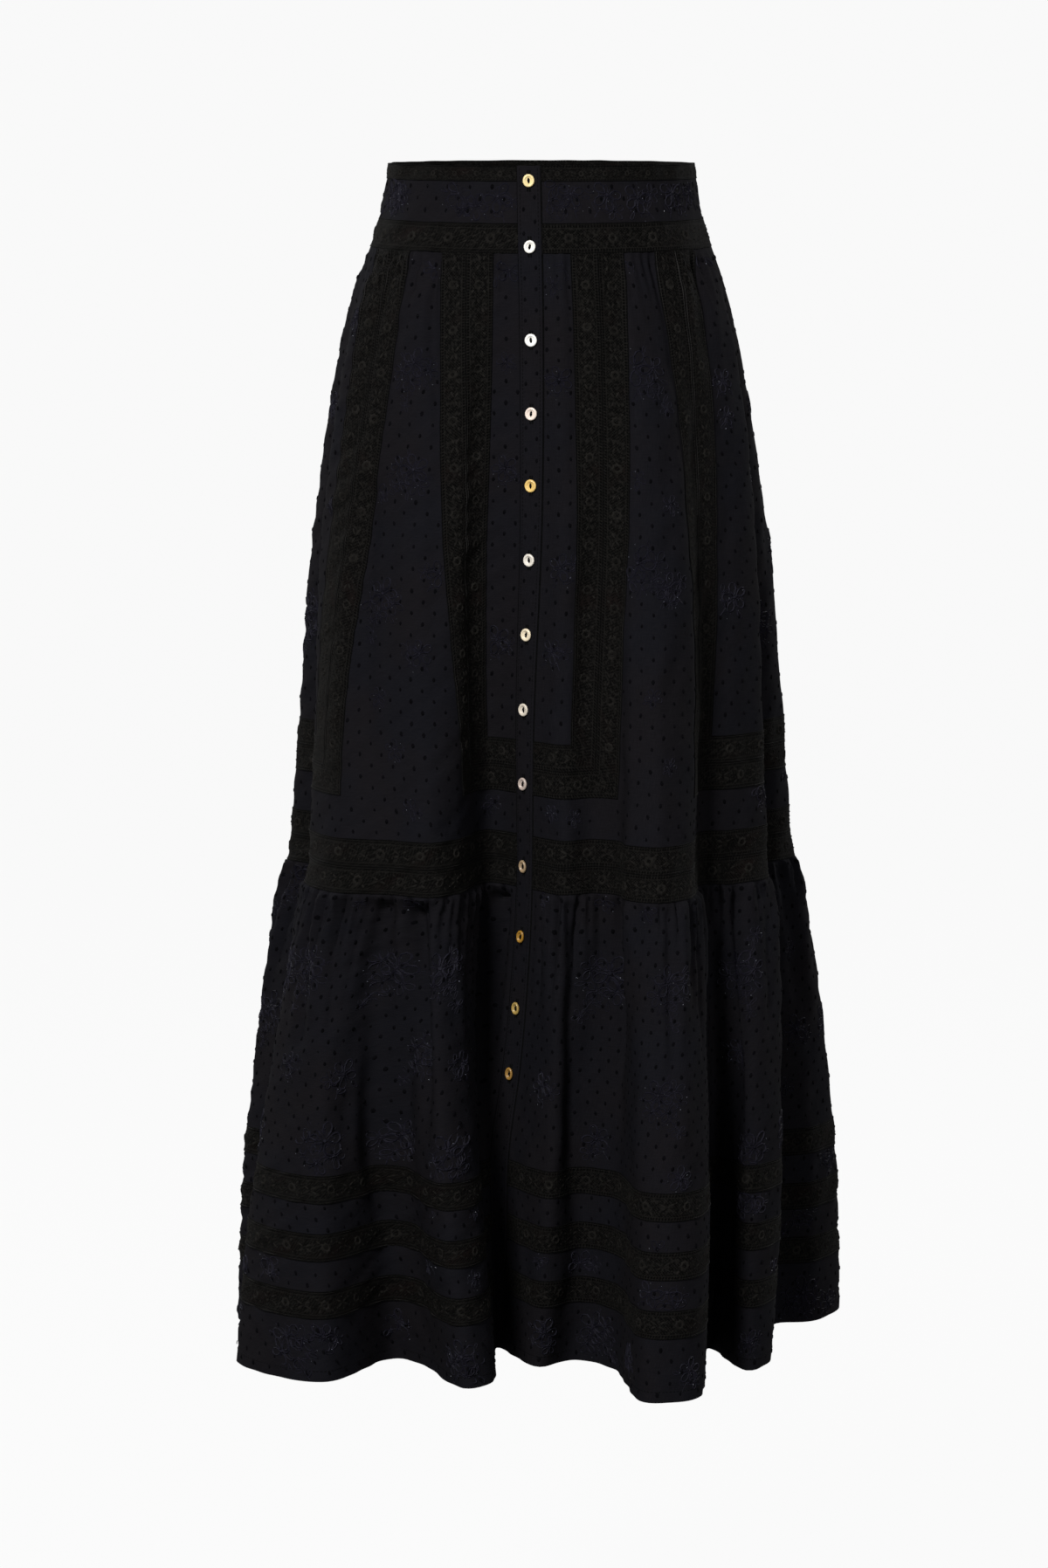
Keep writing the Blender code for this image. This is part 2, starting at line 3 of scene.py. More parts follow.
import bpy
import numpy as np
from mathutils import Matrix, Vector


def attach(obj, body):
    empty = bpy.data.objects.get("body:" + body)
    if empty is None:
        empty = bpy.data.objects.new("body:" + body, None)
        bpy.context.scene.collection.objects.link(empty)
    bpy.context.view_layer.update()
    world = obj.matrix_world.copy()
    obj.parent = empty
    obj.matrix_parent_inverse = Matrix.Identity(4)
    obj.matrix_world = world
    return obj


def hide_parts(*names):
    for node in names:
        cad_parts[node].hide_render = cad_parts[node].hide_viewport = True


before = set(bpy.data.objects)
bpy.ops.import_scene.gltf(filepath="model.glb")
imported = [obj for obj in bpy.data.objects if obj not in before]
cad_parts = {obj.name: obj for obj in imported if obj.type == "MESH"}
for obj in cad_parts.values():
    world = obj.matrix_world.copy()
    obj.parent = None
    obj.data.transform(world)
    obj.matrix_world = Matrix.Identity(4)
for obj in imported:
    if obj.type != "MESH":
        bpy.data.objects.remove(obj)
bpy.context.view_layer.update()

bl_info = {
    "name": "Tiered maxi skirt looks",
    "version": (1, 0, 0),
    "blender": (4, 5, 0),
    "location": "3D View > Sidebar > Skirt",
    "description": "Cloth, lace, embroidery, buttons and stage for the packed skirt",
    "category": "Object",
}

# Sizes of the cut, in metres
LENGTH = 0.965
OVERLAP = 0.0012
LACE_LIFT = 0.00035
RIBBON = 0.0215
PLACKET_WIDTH = 0.0185
PLACKET_STEP = 0.0019
UNDERLAP = 0.003
YOKE_LACE_DROP = 0.0118
YOKE_CLOTH_DROP = 0.0425
YOKE_DROP = 0.0645
FRAME_DROP = 0.4585
FRAME_END = FRAME_DROP + 2 * RIBBON
SEAM_DROP = 0.5350
TIER_DROP = SEAM_DROP + 2 * RIBBON
FIRST_LACE_DROP = 0.8025
LACE_PITCH = 0.0455
LACE_DROPS = tuple(FIRST_LACE_DROP + LACE_PITCH * number for number in range(3))
GATHER_ROWS = 1.35
YOKE_ROUND = 0.70
HEM_ROUND = 2.42
YOKE_DIP = 0.0045
YOKE_DIP_FADE = 0.12

# The body without its folds, in millimetres: drop below the waist edge, half width, front and back
PROFILE = (
    (0, 124, 90, 92), (40, 130.5, 95, 98), (65, 138.5, 99, 104), (85, 146, 103, 109),
    (110, 155.2, 107, 114), (166, 169.2, 115, 124), (223, 179.2, 123, 131), (281, 187.6, 130, 137),
    (339, 194.4, 136, 142), (397, 198.8, 142, 147), (455, 202.8, 148, 152), (513, 207.4, 155, 158),
    (572, 212.3, 162, 165), (602, 220.3, 168, 172), (661, 230.8, 178, 184), (720, 239, 188, 196),
    (780, 245.6, 198, 207), (840, 251, 208, 217), (901, 253.6, 216, 225), (965, 255.5, 222, 232),
)

# The large folds, round from the placket by the viewer's right: start in degrees, then where they lie at the
# seam and at the hem in millimetres
FOLD_COLUMNS = ("waist_angle", "seam_x", "seam_y", "hem_x", "hem_y")
FOLDS = (
    (-1, -9, -130, -33, -108), (7, 18, -156, -2, -166), (14, 40, -146, 28.8, -145),
    (20, 60, -154, 58, -172), (27, 70, -180, 77.7, -266), (35, 92, -191, 101, -272),
    (43, 116, -170, 125.1, -255), (51, 130, -106, 139, -110), (61, 152, -102, 163, -175),
    (71, 184, -70, 186, -150), (83, 166, -10, 194, -35), (93, 198, 15, 230, -22),
    (102, 210, 40, 254.5, 25), (115, 178, 85, 205, 85), (129, 166, 135, 205, 165),
    (141, 118, 128, 138, 145), (153, 92, 172, 110, 235), (166, 40, 150, 50, 165), (180, 0, 180, 0, 240),
    (195, -45, 150, -55, 170), (209, -98, 170, -115, 228), (222, -130, 122, -150, 135),
    (235, -172, 125, -212, 150), (248, -180, 72, -205, 62), (261, -208, 20, -255, -10),
    (273, -166, -28, -215, -60), (284, -188, -90, -247, -152), (297, -165, -140, -173.5, -212),
    (313, -122, -154, -116.6, -140), (327, -86, -166, -62, -230), (337, -68, -148, -40, -214),
    (346, -42, -94, -38.5, -135),
)
FOLD_GROWTH = 0.88
PER_METRE = 1000.0

# The placket's outer edge: drop and x, in millimetres
PLACKET_LINE = (
    (0, -1), (140, 1.2), (280, 0.3), (440, -6), (620, -9), (720, -16.5), (800, -26.5), (880, -28.5),
    (965, -34),
)

# Widths of the body's panels at a drop, without the lace between them
PANEL_COLUMNS = ("drop", "centre_right", "side_right", "centre_left", "side_left")
PANELS = (
    (YOKE_DROP, 0.023, 0.028, 0.020, 0.030),
    (0.180, 0.027, 0.044, 0.024, 0.046),
    (0.300, 0.032, 0.060, 0.029, 0.067),
    (FRAME_DROP, 0.038, 0.090, 0.029, 0.106),
    (SEAM_DROP, 0.040, 0.100, 0.031, 0.122),
)

# Gathers under the tier seam and the yoke, and how uneven they are
TIER_GATHERS = 88
TIER_GATHER_HEIGHT = 0.0027
TIER_GATHER_START = 0.004
TIER_GATHER_FADE = 0.085
YOKE_GATHERS = 88
YOKE_GATHER_HEIGHT = 0.0012
YOKE_GATHER_START = 0.006
YOKE_GATHER_FADE = 0.070
PLACKET_CLEAR = 0.012
UNEVEN = 0.45
UNEVEN_WAVES = (37.0, 83.0)
GATHER_SHIFTS = ((0.0014, 44.0, 0.7), (0.0009, 119.0, 0.0))
GATHER_PINCH = 0.75
GATHER_REACH = (1.15, 0.5, 61.0)
FINE_GATHERS = 191
FINE_GATHER_HEIGHT = 0.0010
FINE_GATHER_SHARE = 0.5
CREASE_START = 0.012
CREASE_FADE = 0.55
LEVELS = 387
ROUND = 2880
KNOT_POWER = 0.75

# Wrinkles as a height times two sines, each with its waves across and down, bend, waves of the bend, start
WRINKLES = (
    (0.00080, (134.0, 0.0, 3.8, 20.3, 0.0), (30.0, 48.3, 0.0, 0.0, 0.0)),
    (0.00056, (242.0, 18.0, 2.0, 33.0, 0.0), (-19.0, 30.0, 0.0, 0.0, 1.0)),
)

# Small creases, in thousandths: where they start and end round the girth, where they start and end down the
# cloth, half width, and height, less than zero for a trough
CREASES = (
    (26, 30, 70, 330, 6, -1.2), (60, 66, 66, 420, 8, -1.8), (83, 78, 80, 300, 7, 1.4),
    (105, 100, 66, 360, 7, -1.4), (132, 136, 66, 500, 9, -2.4), (152, 148, 90, 480, 8, 1.8),
    (172, 166, 68, 530, 8, -2.6), (205, 212, 66, 410, 10, 1.8), (232, 225, 100, 540, 10, -2.2),
    (262, 268, 70, 400, 10, -1.8), (300, 304, 66, 470, 12, 2.2), (335, 348, 90, 530, 11, -2.2),
    (372, 374, 66, 380, 10, -1.6), (405, 415, 80, 500, 12, 2), (440, 452, 66, 540, 10, -2.4),
    (482, 486, 66, 360, 10, 1.6), (520, 524, 80, 520, 11, -2), (560, 562, 66, 430, 12, 1.8),
    (600, 598, 90, 540, 10, -2.2), (640, 636, 66, 400, 11, -1.8), (678, 668, 70, 500, 10, 2),
    (712, 705, 66, 540, 10, -2.4), (745, 748, 80, 420, 9, 1.6), (775, 786, 66, 520, 9, -2.4),
    (806, 800, 80, 430, 8, 1.8), (835, 832, 66, 380, 8, -1.8), (856, 862, 120, 530, 9, -2),
    (884, 892, 66, 450, 7, 1.4), (912, 914, 70, 500, 8, -2), (944, 940, 66, 330, 6, -1.2),
    (885, 916, 66, 230, 6, -5), (72, 69, 66, 260, 5, -4.2), (118, 126, 66, 420, 7, -3.6),
    (856, 876, 250, 560, 10, -3.6), (942, 956, 300, 560, 8, -2.6), (42, 30, 280, 560, 8, -2.6),
    (880, 885, 579, 830, 9, -4.2), (899, 912, 579, 850, 8, -4), (115, 118, 579, 700, 5, -3.4),
    (62, 60, 579, 760, 7, -3), (178, 180, 579, 720, 6, -3), (974, 987, 579, 1100, 14, -13),
    (882, 906, 579, 900, 10, -9), (902, 920, 579, 1050, 24, -8), (898, 933, 579, 800, 9, -8.5),
    (840, 856, 579, 720, 6, -7), (861, 870, 579, 720, 6, -5.5), (925, 930, 579, 660, 4, -3),
    (29, 43, 579, 900, 8, -6.5), (55, 59, 579, 760, 6, -6), (98, 104, 579, 740, 6, -5.5),
    (174, 203, 540, 1000, 11, -5.5), (199, 204, 579, 720, 6, -3.6), (275, 279, 579, 730, 8, -3.6),
    (34, 34, 579, 700, 8, 2.6), (50, 52, 579, 780, 8, -2.6), (68, 74, 579, 690, 7, 2.8),
    (86, 100, 579, 760, 8, -2.2), (104, 116, 579, 860, 10, 2.6), (118, 127, 579, 720, 7, -2.8),
    (138, 150, 579, 700, 9, 2.6), (182, 196, 579, 810, 10, -3), (214, 222, 579, 730, 9, 3),
    (240, 252, 579, 880, 12, -3.4), (282, 290, 579, 740, 10, 3), (310, 322, 579, 850, 12, -3.4),
    (350, 362, 579, 760, 10, 3), (382, 392, 579, 900, 12, -3.6), (420, 430, 579, 730, 10, 3),
    (455, 470, 579, 830, 12, -3.4), (492, 508, 579, 780, 11, 3.2), (530, 545, 579, 890, 12, -3.6),
    (565, 580, 579, 740, 10, 3), (600, 618, 579, 840, 12, -3.4), (638, 652, 579, 760, 10, 3),
    (668, 686, 579, 880, 12, -3.4), (705, 722, 579, 740, 10, 3), (745, 760, 579, 820, 11, -3.2),
    (786, 796, 579, 730, 9, 2.8), (822, 830, 579, 900, 11, -2.8), (846, 852, 579, 710, 8, 2.8),
    (868, 880, 579, 800, 10, -3), (890, 908, 579, 720, 8, 2.6), (906, 930, 579, 840, 9, -2.6),
    (922, 944, 579, 700, 7, 2.4),
)

# Sprigs on the front, in thousandths: where they lie round the girth and down
FRONT_SPRIGS = (
    ("large", (
        (885, 163), (84, 166), (889, 246), (79, 320), (874, 347), (849, 642), (925, 640), (892, 643),
        (183, 651), (100, 646), (48, 649), (100, 732), (872, 782), (906, 782), (942, 784), (200, 793),
        (850, 938), (943, 947), (106, 885), (52, 941), (914, 707), (290, 948),
    )),
    ("medium", (
        (900.6, 23.5), (952, 26), (35.5, 24), (74, 24.5), (816, 25), (164, 24.5), (925, 33), (118, 27),
        (730, 25), (250, 24), (969, 243), (13, 171), (19, 320), (916, 325), (969, 382), (14, 387),
        (173, 350), (849, 720), (879, 726), (110, 794), (50, 781), (183, 714), (863, 932), (901, 936),
        (843, 876), (927, 867), (118, 944), (85, 942), (215, 945), (28, 938), (288, 876), (277, 722),
        (178, 175), (99, 335), (942, 714), (19, 737), (44, 885), (903, 388),
    )),
    ("small", (
        (888, 79), (956, 71), (968, 156), (88, 74), (9, 92), (103, 269), (75, 249), (861, 260), (817, 275),
        (898, 584), (871, 586), (86, 586), (12, 585), (49, 586), (190, 622), (932, 825), (952, 882),
        (25, 876), (104, 847), (955, 828), (178, 204), (16, 515), (967, 515), (31, 518), (887, 465),
        (99, 474), (898, 510), (87, 420), (875, 424), (14, 812),
    )),
)

# Each kind of sprig: blossoms and blades as right, up, turn and size, stems as right, up, aim, length and
# curl, then how many seed stitches it has and how far they reach
SPRIG_PARTS = {
    "large": (
        ((0.0, 0.0075, 0.2, 2.1), (0.0, 0.0075, 0.8, 1.2), (-0.0125, 0.001, 0.6, 1.5), (0.012, 0.0, 0.0, 1.5),
         (0.001, -0.009, 0.4, 1.4), (0.0045, -0.030, 0.1, 0.9)),
        ((0.004, -0.028, 0.15, 0.016, -0.3), (-0.008, -0.014, -0.6, 0.010, 0.8)),
        ((0.004, -0.016, 1.3, 1.0), (0.004, -0.018, -1.2, 1.0), (0.0045, -0.023, 1.1, 0.9),
         (0.0045, -0.025, -1.1, 0.9), (-0.009, -0.009, 2.4, 1.0), (0.012, -0.009, -2.6, 1.0),
         (-0.012, 0.010, 0.9, 0.9), (0.011, 0.011, -0.8, 0.9)), 22, 0.019),
    "medium": (
        ((0.0, 0.003, 0.3, 1.7), (0.0, 0.003, 0.9, 1.0), (0.0105, -0.002, 0.7, 1.1)),
        ((0.001, -0.015, 0.1, 0.009, -0.3),),
        ((0.001, -0.011, 1.1, 0.95), (0.001, -0.008, -1.2, 0.9), (-0.008, -0.002, 1.9, 0.9)), 12, 0.012),
    "small": (
        ((0.0, 0.002, 0.1, 1.15),), (), ((0.0, -0.002, 2.3, 0.8), (0.0, -0.002, -2.4, 0.8)), 6, 0.008),
}

# Buttons down the placket: drop, how far they are turned, width over height, colour. The colours of the
# lowest five buttons are darkened with painted shade.
BUTTON_COLUMNS = ("drop", "turn", "width", "red", "green", "blue")
BUTTONS = (
    (0.0115, 4.0, 0.90, 0.78, 0.62, 0.30),
    (0.0597, -10.0, 0.90, 0.85, 0.82, 0.75),
    (0.1362, 6.0, 0.94, 0.88, 0.86, 0.81),
    (0.1962, -4.0, 0.94, 0.78, 0.66, 0.57),
    (0.2535, 2.0, 0.94, 0.72, 0.48, 0.14),
    (0.3130, 8.0, 0.94, 0.70, 0.65, 0.57),
    (0.3730, -6.0, 0.92, 0.75, 0.64, 0.46),
    (0.4335, 5.0, 0.92, 0.62, 0.55, 0.45),
    # These five colours are a darker shell with painted shade laid on top of it
    (0.4935, -3.0, 0.90, 0.44, 0.36, 0.31),
    (0.5605, 9.0, 0.80, 0.30, 0.21, 0.12),
    (0.6180, -8.0, 0.78, 0.32, 0.16, 0.015),
    (0.6773, 6.0, 0.78, 0.36, 0.24, 0.06),
    (0.7317, 3.0, 0.74, 0.30, 0.16, 0.03),
)
BUTTON_RADIUS = 0.0052
BUTTON_THICKNESS = 0.0024
BUTTON_HOLLOW = (0.0011, 0.0026, 0.00085)
BUTTON_SIDES = 44

# A button from its middle outwards and round under it: share of the radius and of the thickness
BUTTON_PROFILE = (
    (0.0, 0.56), (0.08, 0.56), (0.16, 0.56), (0.26, 0.57), (0.36, 0.58), (0.47, 0.60), (0.56, 0.66),
    (0.62, 0.86), (0.70, 0.98), (0.80, 1.0), (0.90, 0.93), (0.97, 0.78), (1.0, 0.58), (0.985, 0.38),
    (0.90, 0.12), (0.80, 0.0), (0.0, 0.0),
)
BUTTON_TOP_RINGS = 10

# How far a raised shape's foot lies under the cloth, how far the lace's figures stay from the placket and a
# seam's cord from an edge, and the space between stitches
FOOT = -0.0001
LACE_CLEAR = 0.004
EDGE = 0.0006
STITCH_PITCH = 0.0031
GOLDEN_ANGLE = 2.399

# The lattice of the sprigs: columns, drop, jitter and seed, and the beads of each kind with their reach
SPRIG_LATTICE = (0.060, 0.125, 0.008, 11)
SPRIG_BEADS = {"large": (14, 0.023), "medium": (8, 0.014), "small": (4, 0.009)}

# The stage: each lamp's name, place, aim, size and power, then the sky, the floor and the camera
LAMPS = (
    ("key", (-1.5, -3.3, 1.9), (0.0, 0.0, -0.25), 1.1, 208.0),
    ("fill", (2.4, -2.4, 0.8), (0.0, 0.0, -0.35), 1.6, 26.0),
    ("left_back", (-2.6, 2.0, 0.9), (0.0, 0.0, -0.4), 1.2, 60.0),
    ("right_back", (2.6, 2.0, 0.9), (0.0, 0.0, -0.4), 1.2, 60.0),
)
SKY_STRENGTH = 0.13
FLOOR_HEIGHT = -1.42
FLOOR_GLOW = 0.22
FLOOR_GLOW_TO_CAMERA = 0.72
CAMERA_PLACE = (-0.0138, -4.0, 0.10)
CAMERA_TILT = 8.70
CAMERA_LENS = 111.8

# Sizes that a user may change without moving a seam: name, label, what it is, metres
SIZES = (
    ("cloth_thickness", "Cloth thickness", "Thickness of the cloth and lace", 0.0007),
    ("placket_rise", "Placket rise", "How far the placket stands proud", 0.0009),
    ("dot_width", "Dot width", "Width of a woven dot", 0.0027),
    ("dot_length", "Dot length", "Length of a woven dot", 0.0041),
    ("dot_height", "Dot height", "How far a dot stands out", 0.00045),
    ("dot_column", "Dot column", "Space between columns of dots", 0.0096),
    ("dot_pitch", "Dot pitch", "Space between dots in a column", 0.0175),
    ("motif_pitch", "Lace repeat", "Length of one lace repeat", 0.0355),
    ("piping_width", "Piping width", "Width of the cord along the lace", 0.0009),
)
COLOURS = (
    ("cloth", "Cloth", "Colour of the dotted cloth", (0.0062, 0.0056, 0.0067)),
    ("cloth_blue", "Cloth, bluer", "Colour of the cloth's bluer threads", (0.0050, 0.0054, 0.0076)),
    ("dot", "Dots", "Colour of the woven dots", (0.0019, 0.0018, 0.0024)),
    ("embroidery", "Embroidery", "Colour of the sprigs", (0.0085, 0.0080, 0.0124)),
    ("lace", "Lace", "Colour of the lace thread", (0.0041, 0.0038, 0.0034)),
    ("piping", "Piping", "Colour of the cord along the lace", (0.0110, 0.0102, 0.0096)),
)


class SkirtSizes(bpy.types.PropertyGroup):
    """Sizes that a user may change without moving a seam."""

    __annotations__ = {
        name: bpy.props.FloatProperty(name=label, description=about, default=value, unit="LENGTH")
        for name, label, about, value in SIZES}


class SkirtColours(bpy.types.PropertyGroup):
    """Colours of the threads."""

    __annotations__ = {
        name: bpy.props.FloatVectorProperty(name=label, description=about, default=value, size=3,
                                            subtype="COLOR")
        for name, label, about, value in COLOURS}


def column(table, names, name):
    """One named column of a table."""
    return np.array([row[names.index(name)] for row in table])


def smooth(share):
    """0 to 1 with a level start and end: 3 times the square less 2 times the cube."""
    share = np.clip(share, 0.0, 1.0)
    return share * share * (3.0 - 2.0 * share)


def spline(knots, values, at):
    """A smooth curve through values at rising knots: cubic pieces that share their slopes."""
    slopes = np.gradient(values, knots, axis=0)
    first = np.clip(np.searchsorted(knots, at, side="right") - 1, 0, len(knots) - 2)
    shape = (-1,) + (1,) * (values.ndim - 1)
    width = (knots[first + 1] - knots[first]).reshape(shape)
    t = ((at - knots[first]).reshape(shape)) / width
    start = (2 * t**3 - 3 * t**2 + 1) * values[first] + (t**3 - 2 * t**2 + t) * width * slopes[first]
    end = (3 * t**2 - 2 * t**3) * values[first + 1] + (t**3 - t**2) * width * slopes[first + 1]
    return start + end


def fold_points(drops):
    """Every large fold line at every drop, from shares of the body's width and depth there."""
    angles = np.radians(column(FOLDS, FOLD_COLUMNS, "waist_angle"))
    at_waist = np.stack([np.sin(angles), -np.cos(angles)], axis=-1)
    profile = np.array(PROFILE) / PER_METRE
    knots, sizes = profile[:, 0], profile[:, 1:]
    waist_to_seam = SEAM_DROP + RIBBON
    shares = []
    for level, name in zip(spline(knots, sizes, np.array([waist_to_seam, LENGTH])), ("seam", "hem")):
        x = column(FOLDS, FOLD_COLUMNS, name + "_x") / PER_METRE
        y = column(FOLDS, FOLD_COLUMNS, name + "_y") / PER_METRE
        shares.append(np.stack([x / level[0], y / np.where(y < 0, level[1], level[2])], axis=-1))
    body = np.clip((drops - YOKE_DROP) / (waist_to_seam - YOKE_DROP), 0, 1) ** FOLD_GROWTH
    tier = np.clip((drops - waist_to_seam) / (LENGTH - waist_to_seam), 0, 1)
    share = at_waist[:, None] + (shares[0] - at_waist)[:, None] * body[None, :, None]
    share = share + (shares[1] - shares[0])[:, None] * tier[None, :, None]
    size = spline(knots, sizes, drops)
    depth = np.where(share[..., 1] < 0, size[None, :, 1], size[None, :, 2])
    points = np.stack([share[..., 0] * size[None, :, 0], share[..., 1] * depth], axis=-1)
    line = np.array(PLACKET_LINE) / PER_METRE
    points[0, :, 0] = spline(line[:, 0], line[:, 1], drops)
    return points


class Cloth:
    """The whole cloth: points at a share of the girth and a drop, on the solids' form, with small creases."""

    def __init__(self):
        self.drops = np.linspace(0.0, LENGTH, LEVELS)
        points = fold_points(self.drops)
        steps = np.linalg.norm(np.roll(points, -1, axis=0) - points, axis=-1).mean(axis=1)
        knots = np.concatenate([[0.0], np.cumsum(steps**KNOT_POWER)])
        wrap = 3
        total = knots[-1]
        knots = np.concatenate([knots[-wrap - 1 : -1] - total, knots, knots[1 : wrap + 1] + total])
        values = np.concatenate([points[-wrap:], points, points[: wrap + 1]])
        around = spline(knots, values, np.linspace(0.0, total, ROUND * 2 + 1))
        lengths = np.linalg.norm(np.diff(around, axis=0), axis=-1)
        along = np.concatenate([np.zeros((1, LEVELS)), np.cumsum(lengths, axis=0)])
        self.girth = along[-1]
        shares = np.linspace(0.0, 1.0, ROUND + 1)
        self.grid = np.zeros((LEVELS, ROUND + 1, 3))
        for level in range(LEVELS):
            for axis in (0, 1):
                self.grid[level, :, axis] = np.interp(
                    shares, along[:, level] / self.girth[level], around[:, level, axis]
                )
        self.grid[:, :, 2] = -self.drops[:, None]
        closed = np.concatenate([self.grid[:, -3:-1], self.grid, self.grid[:, 1:3]], axis=1)
        sideways = closed[:, 3:-1] - closed[:, 1:-3]
        downwards = np.gradient(self.grid, self.drops, axis=0)
        normals = np.cross(downwards, sideways)
        self.normals = normals / np.linalg.norm(normals, axis=-1, keepdims=True)

    def girth_at(self, level):
        """The length round the cloth at a level."""
        return np.interp(level, self.drops, self.girth)

    def read(self, grid, share, drop):
        """A sampled grid read between its samples."""
        row = np.clip(drop / LENGTH * (LEVELS - 1), 0, LEVELS - 1 - 1e-9)
        col = np.clip(share * ROUND, 0, ROUND - 1e-9)
        i = row.astype(int)
        j = col.astype(int)
        a = (row - i)[..., None]
        b = (col - j)[..., None]
        upper = grid[i, j] * (1 - b) + grid[i, j + 1] * b
        lower = grid[i + 1, j] * (1 - b) + grid[i + 1, j + 1] * b
        return upper * (1 - a) + lower * a

    def waves(self, share, drop):
        """Gathers as cosines of uneven height and spacing, faint wrinkles as products of sines, and each
        crease as a smooth hump across its line."""
        girth = self.girth_at(drop)
        clear = np.minimum(share * girth, (1.0 - share) * girth - PLACKET_WIDTH)
        flat = smooth((clear - UNDERLAP) / PLACKET_CLEAR)
        slow, quick = UNEVEN_WAVES
        uneven = 1.0 + UNEVEN * np.sin(slow * share + 1.0) * np.sin(quick * share)
        below_seam = drop - TIER_DROP
        below_yoke = drop - YOKE_DROP
        place = share
        for size, waves, shift in GATHER_SHIFTS:
            place = place + size * np.sin(waves * share + shift)
        mean, swing, waves = GATHER_REACH
        reach = TIER_GATHER_FADE * (mean + swing * np.sin(waves * share))
        begun = smooth(below_seam / TIER_GATHER_START)
        tier = begun * (1.0 - smooth(below_seam / reach))
        fine = begun * (1.0 - smooth(below_seam / (FINE_GATHER_SHARE * reach)))
        yoke = smooth((below_yoke - YOKE_DIP) / YOKE_GATHER_START)
        yoke = yoke * (1.0 - smooth(below_yoke / YOKE_GATHER_FADE))
        pinched = 2.0 * np.abs(np.sin(math.pi * TIER_GATHERS * place)) ** GATHER_PINCH - 1.0
        out = TIER_GATHER_HEIGHT * pinched * tier
        out = out + FINE_GATHER_HEIGHT * np.cos(2 * math.pi * FINE_GATHERS * place) * fine
        out = (out + YOKE_GATHER_HEIGHT * np.cos(2 * math.pi * YOKE_GATHERS * place) * yoke) * uneven
        place = share * girth
        for height, *sines in WRINKLES:
            for across, down, bend, bends, shift in sines:
                height = height * np.sin(across * place + down * drop + bend * np.sin(bends * drop) + shift)
            out = out + height
        for start, end, top, bottom, half_width, height in np.array(CREASES) / PER_METRE:
            part = np.clip((drop - top) / (bottom - top), 0.0, 1.0)
            across = (share - start - (end - start) * part) * girth / half_width
            body = smooth((drop - top) / CREASE_START)
            body = body * (1.0 - smooth((part - CREASE_FADE) / (1.0 - CREASE_FADE)))
            out = out + height * np.exp(-across * across) * body
        return out * flat

    def at(self, share, level, lift=0.0):
        """Points at a share of the girth and a level, moved outwards by the lift."""
        share = np.asarray(share, float)
        share = np.where((share < 0.0) | (share > 1.0), np.mod(share, 1.0), share)
        drop = seam_drop(level, share)
        normal = self.read(self.normals, share, drop)
        normal = normal / np.linalg.norm(normal, axis=-1, keepdims=True)
        return self.read(self.grid, share, drop) + normal * (self.waves(share, drop) + lift)[..., None]


def seam_drop(level, share):
    """The drop of a level round the body: the yoke's seams dip at the front."""
    level = np.asarray(level, float) + np.zeros_like(share)
    dip = YOKE_DIP * smooth(level / YOKE_DROP) * (1.0 - smooth((level - YOKE_DROP) / YOKE_DIP_FADE))
    return level + dip * (np.cos(2 * math.pi * share) * 0.5 + 0.5)


CLOTH = Cloth()


def side_lines(level, sign):
    """Metres from the placket's edge to the lines between the body's panels, outwards."""
    side = "right" if sign > 0 else "left"
    knots = column(PANELS, PANEL_COLUMNS, "drop")
    start = 0.0 if sign > 0 else PLACKET_WIDTH
    first = start + np.interp(level, knots, column(PANELS, PANEL_COLUMNS, "centre_" + side))
    second = first + 2 * RIBBON
    third = second + np.interp(level, knots, column(PANELS, PANEL_COLUMNS, "side_" + side))
    return start + 0.0 * first, first, second, third, third + 2 * RIBBON


def share_of(side, level, sign):
    """The share of the girth at metres from the placket's edge, on the right (1) or on the left (-1)."""
    share = side / CLOTH.girth_at(level)
    return share if sign > 0 else 1.0 - share


# Materials


def nodes_of(name):
    """A new material with its node tree and shader."""
    material = bpy.data.materials.new(name)
    material.use_nodes = True
    tree = material.node_tree
    return material, tree, tree.nodes["Principled BSDF"]


def link_new(tree, kind, inputs=(), **settings):
    """A new node with its settings, fed by sockets or given numbers."""
    node = tree.nodes.new(kind)
    for key, value in settings.items():
        setattr(node, key, value)
    for key, value in inputs:
        if isinstance(value, bpy.types.NodeSocket):
            tree.links.new(value, node.inputs[key])
        else:
            node.inputs[key].default_value = value
    return node


def blend_of(tree, factor, first, second):
    """Two colours mixed by a factor, each a socket or given."""
    mix = link_new(tree, "ShaderNodeMix", ((0, factor),), data_type="RGBA")
    for number, value in ((6, first), (7, second)):
        if isinstance(value, bpy.types.NodeSocket):
            tree.links.new(value, mix.inputs[number])
        else:
            mix.inputs[number].default_value = (*value, 1.0)
    return mix.outputs[2]


def shade(colour, factor):
    """A colour made lighter or darker."""
    return tuple(factor * part for part in colour)


def coordinates(tree, kind):
    """Where a point lies, in UV or Object coordinates."""
    return link_new(tree, "ShaderNodeTexCoord").outputs[kind]


def noise_of(tree, place, scale, detail=2.0, distortion=0.0):
    """A cloudy pattern from 0 to 1."""
    inputs = (("Vector", place), ("Scale", scale), ("Detail", detail), ("Distortion", distortion))
    return link_new(tree, "ShaderNodeTexNoise", inputs).outputs["Fac"]


def bands_of(tree, place, scale, distortion, direction="X"):
    """Wavy bands from 0 to 1."""
    inputs = (("Vector", place), ("Scale", scale), ("Distortion", distortion))
    return link_new(tree, "ShaderNodeTexWave", inputs, bands_direction=direction).outputs["Fac"]


def bump_of(tree, height, strength, distance, under=None):
    """The relief of a height pattern, on top of another relief if there is one."""
    inputs = [("Height", height), ("Strength", strength), ("Distance", distance)]
    if under is not None:
        inputs.append(("Normal", under))
    return link_new(tree, "ShaderNodeBump", inputs).outputs[0]


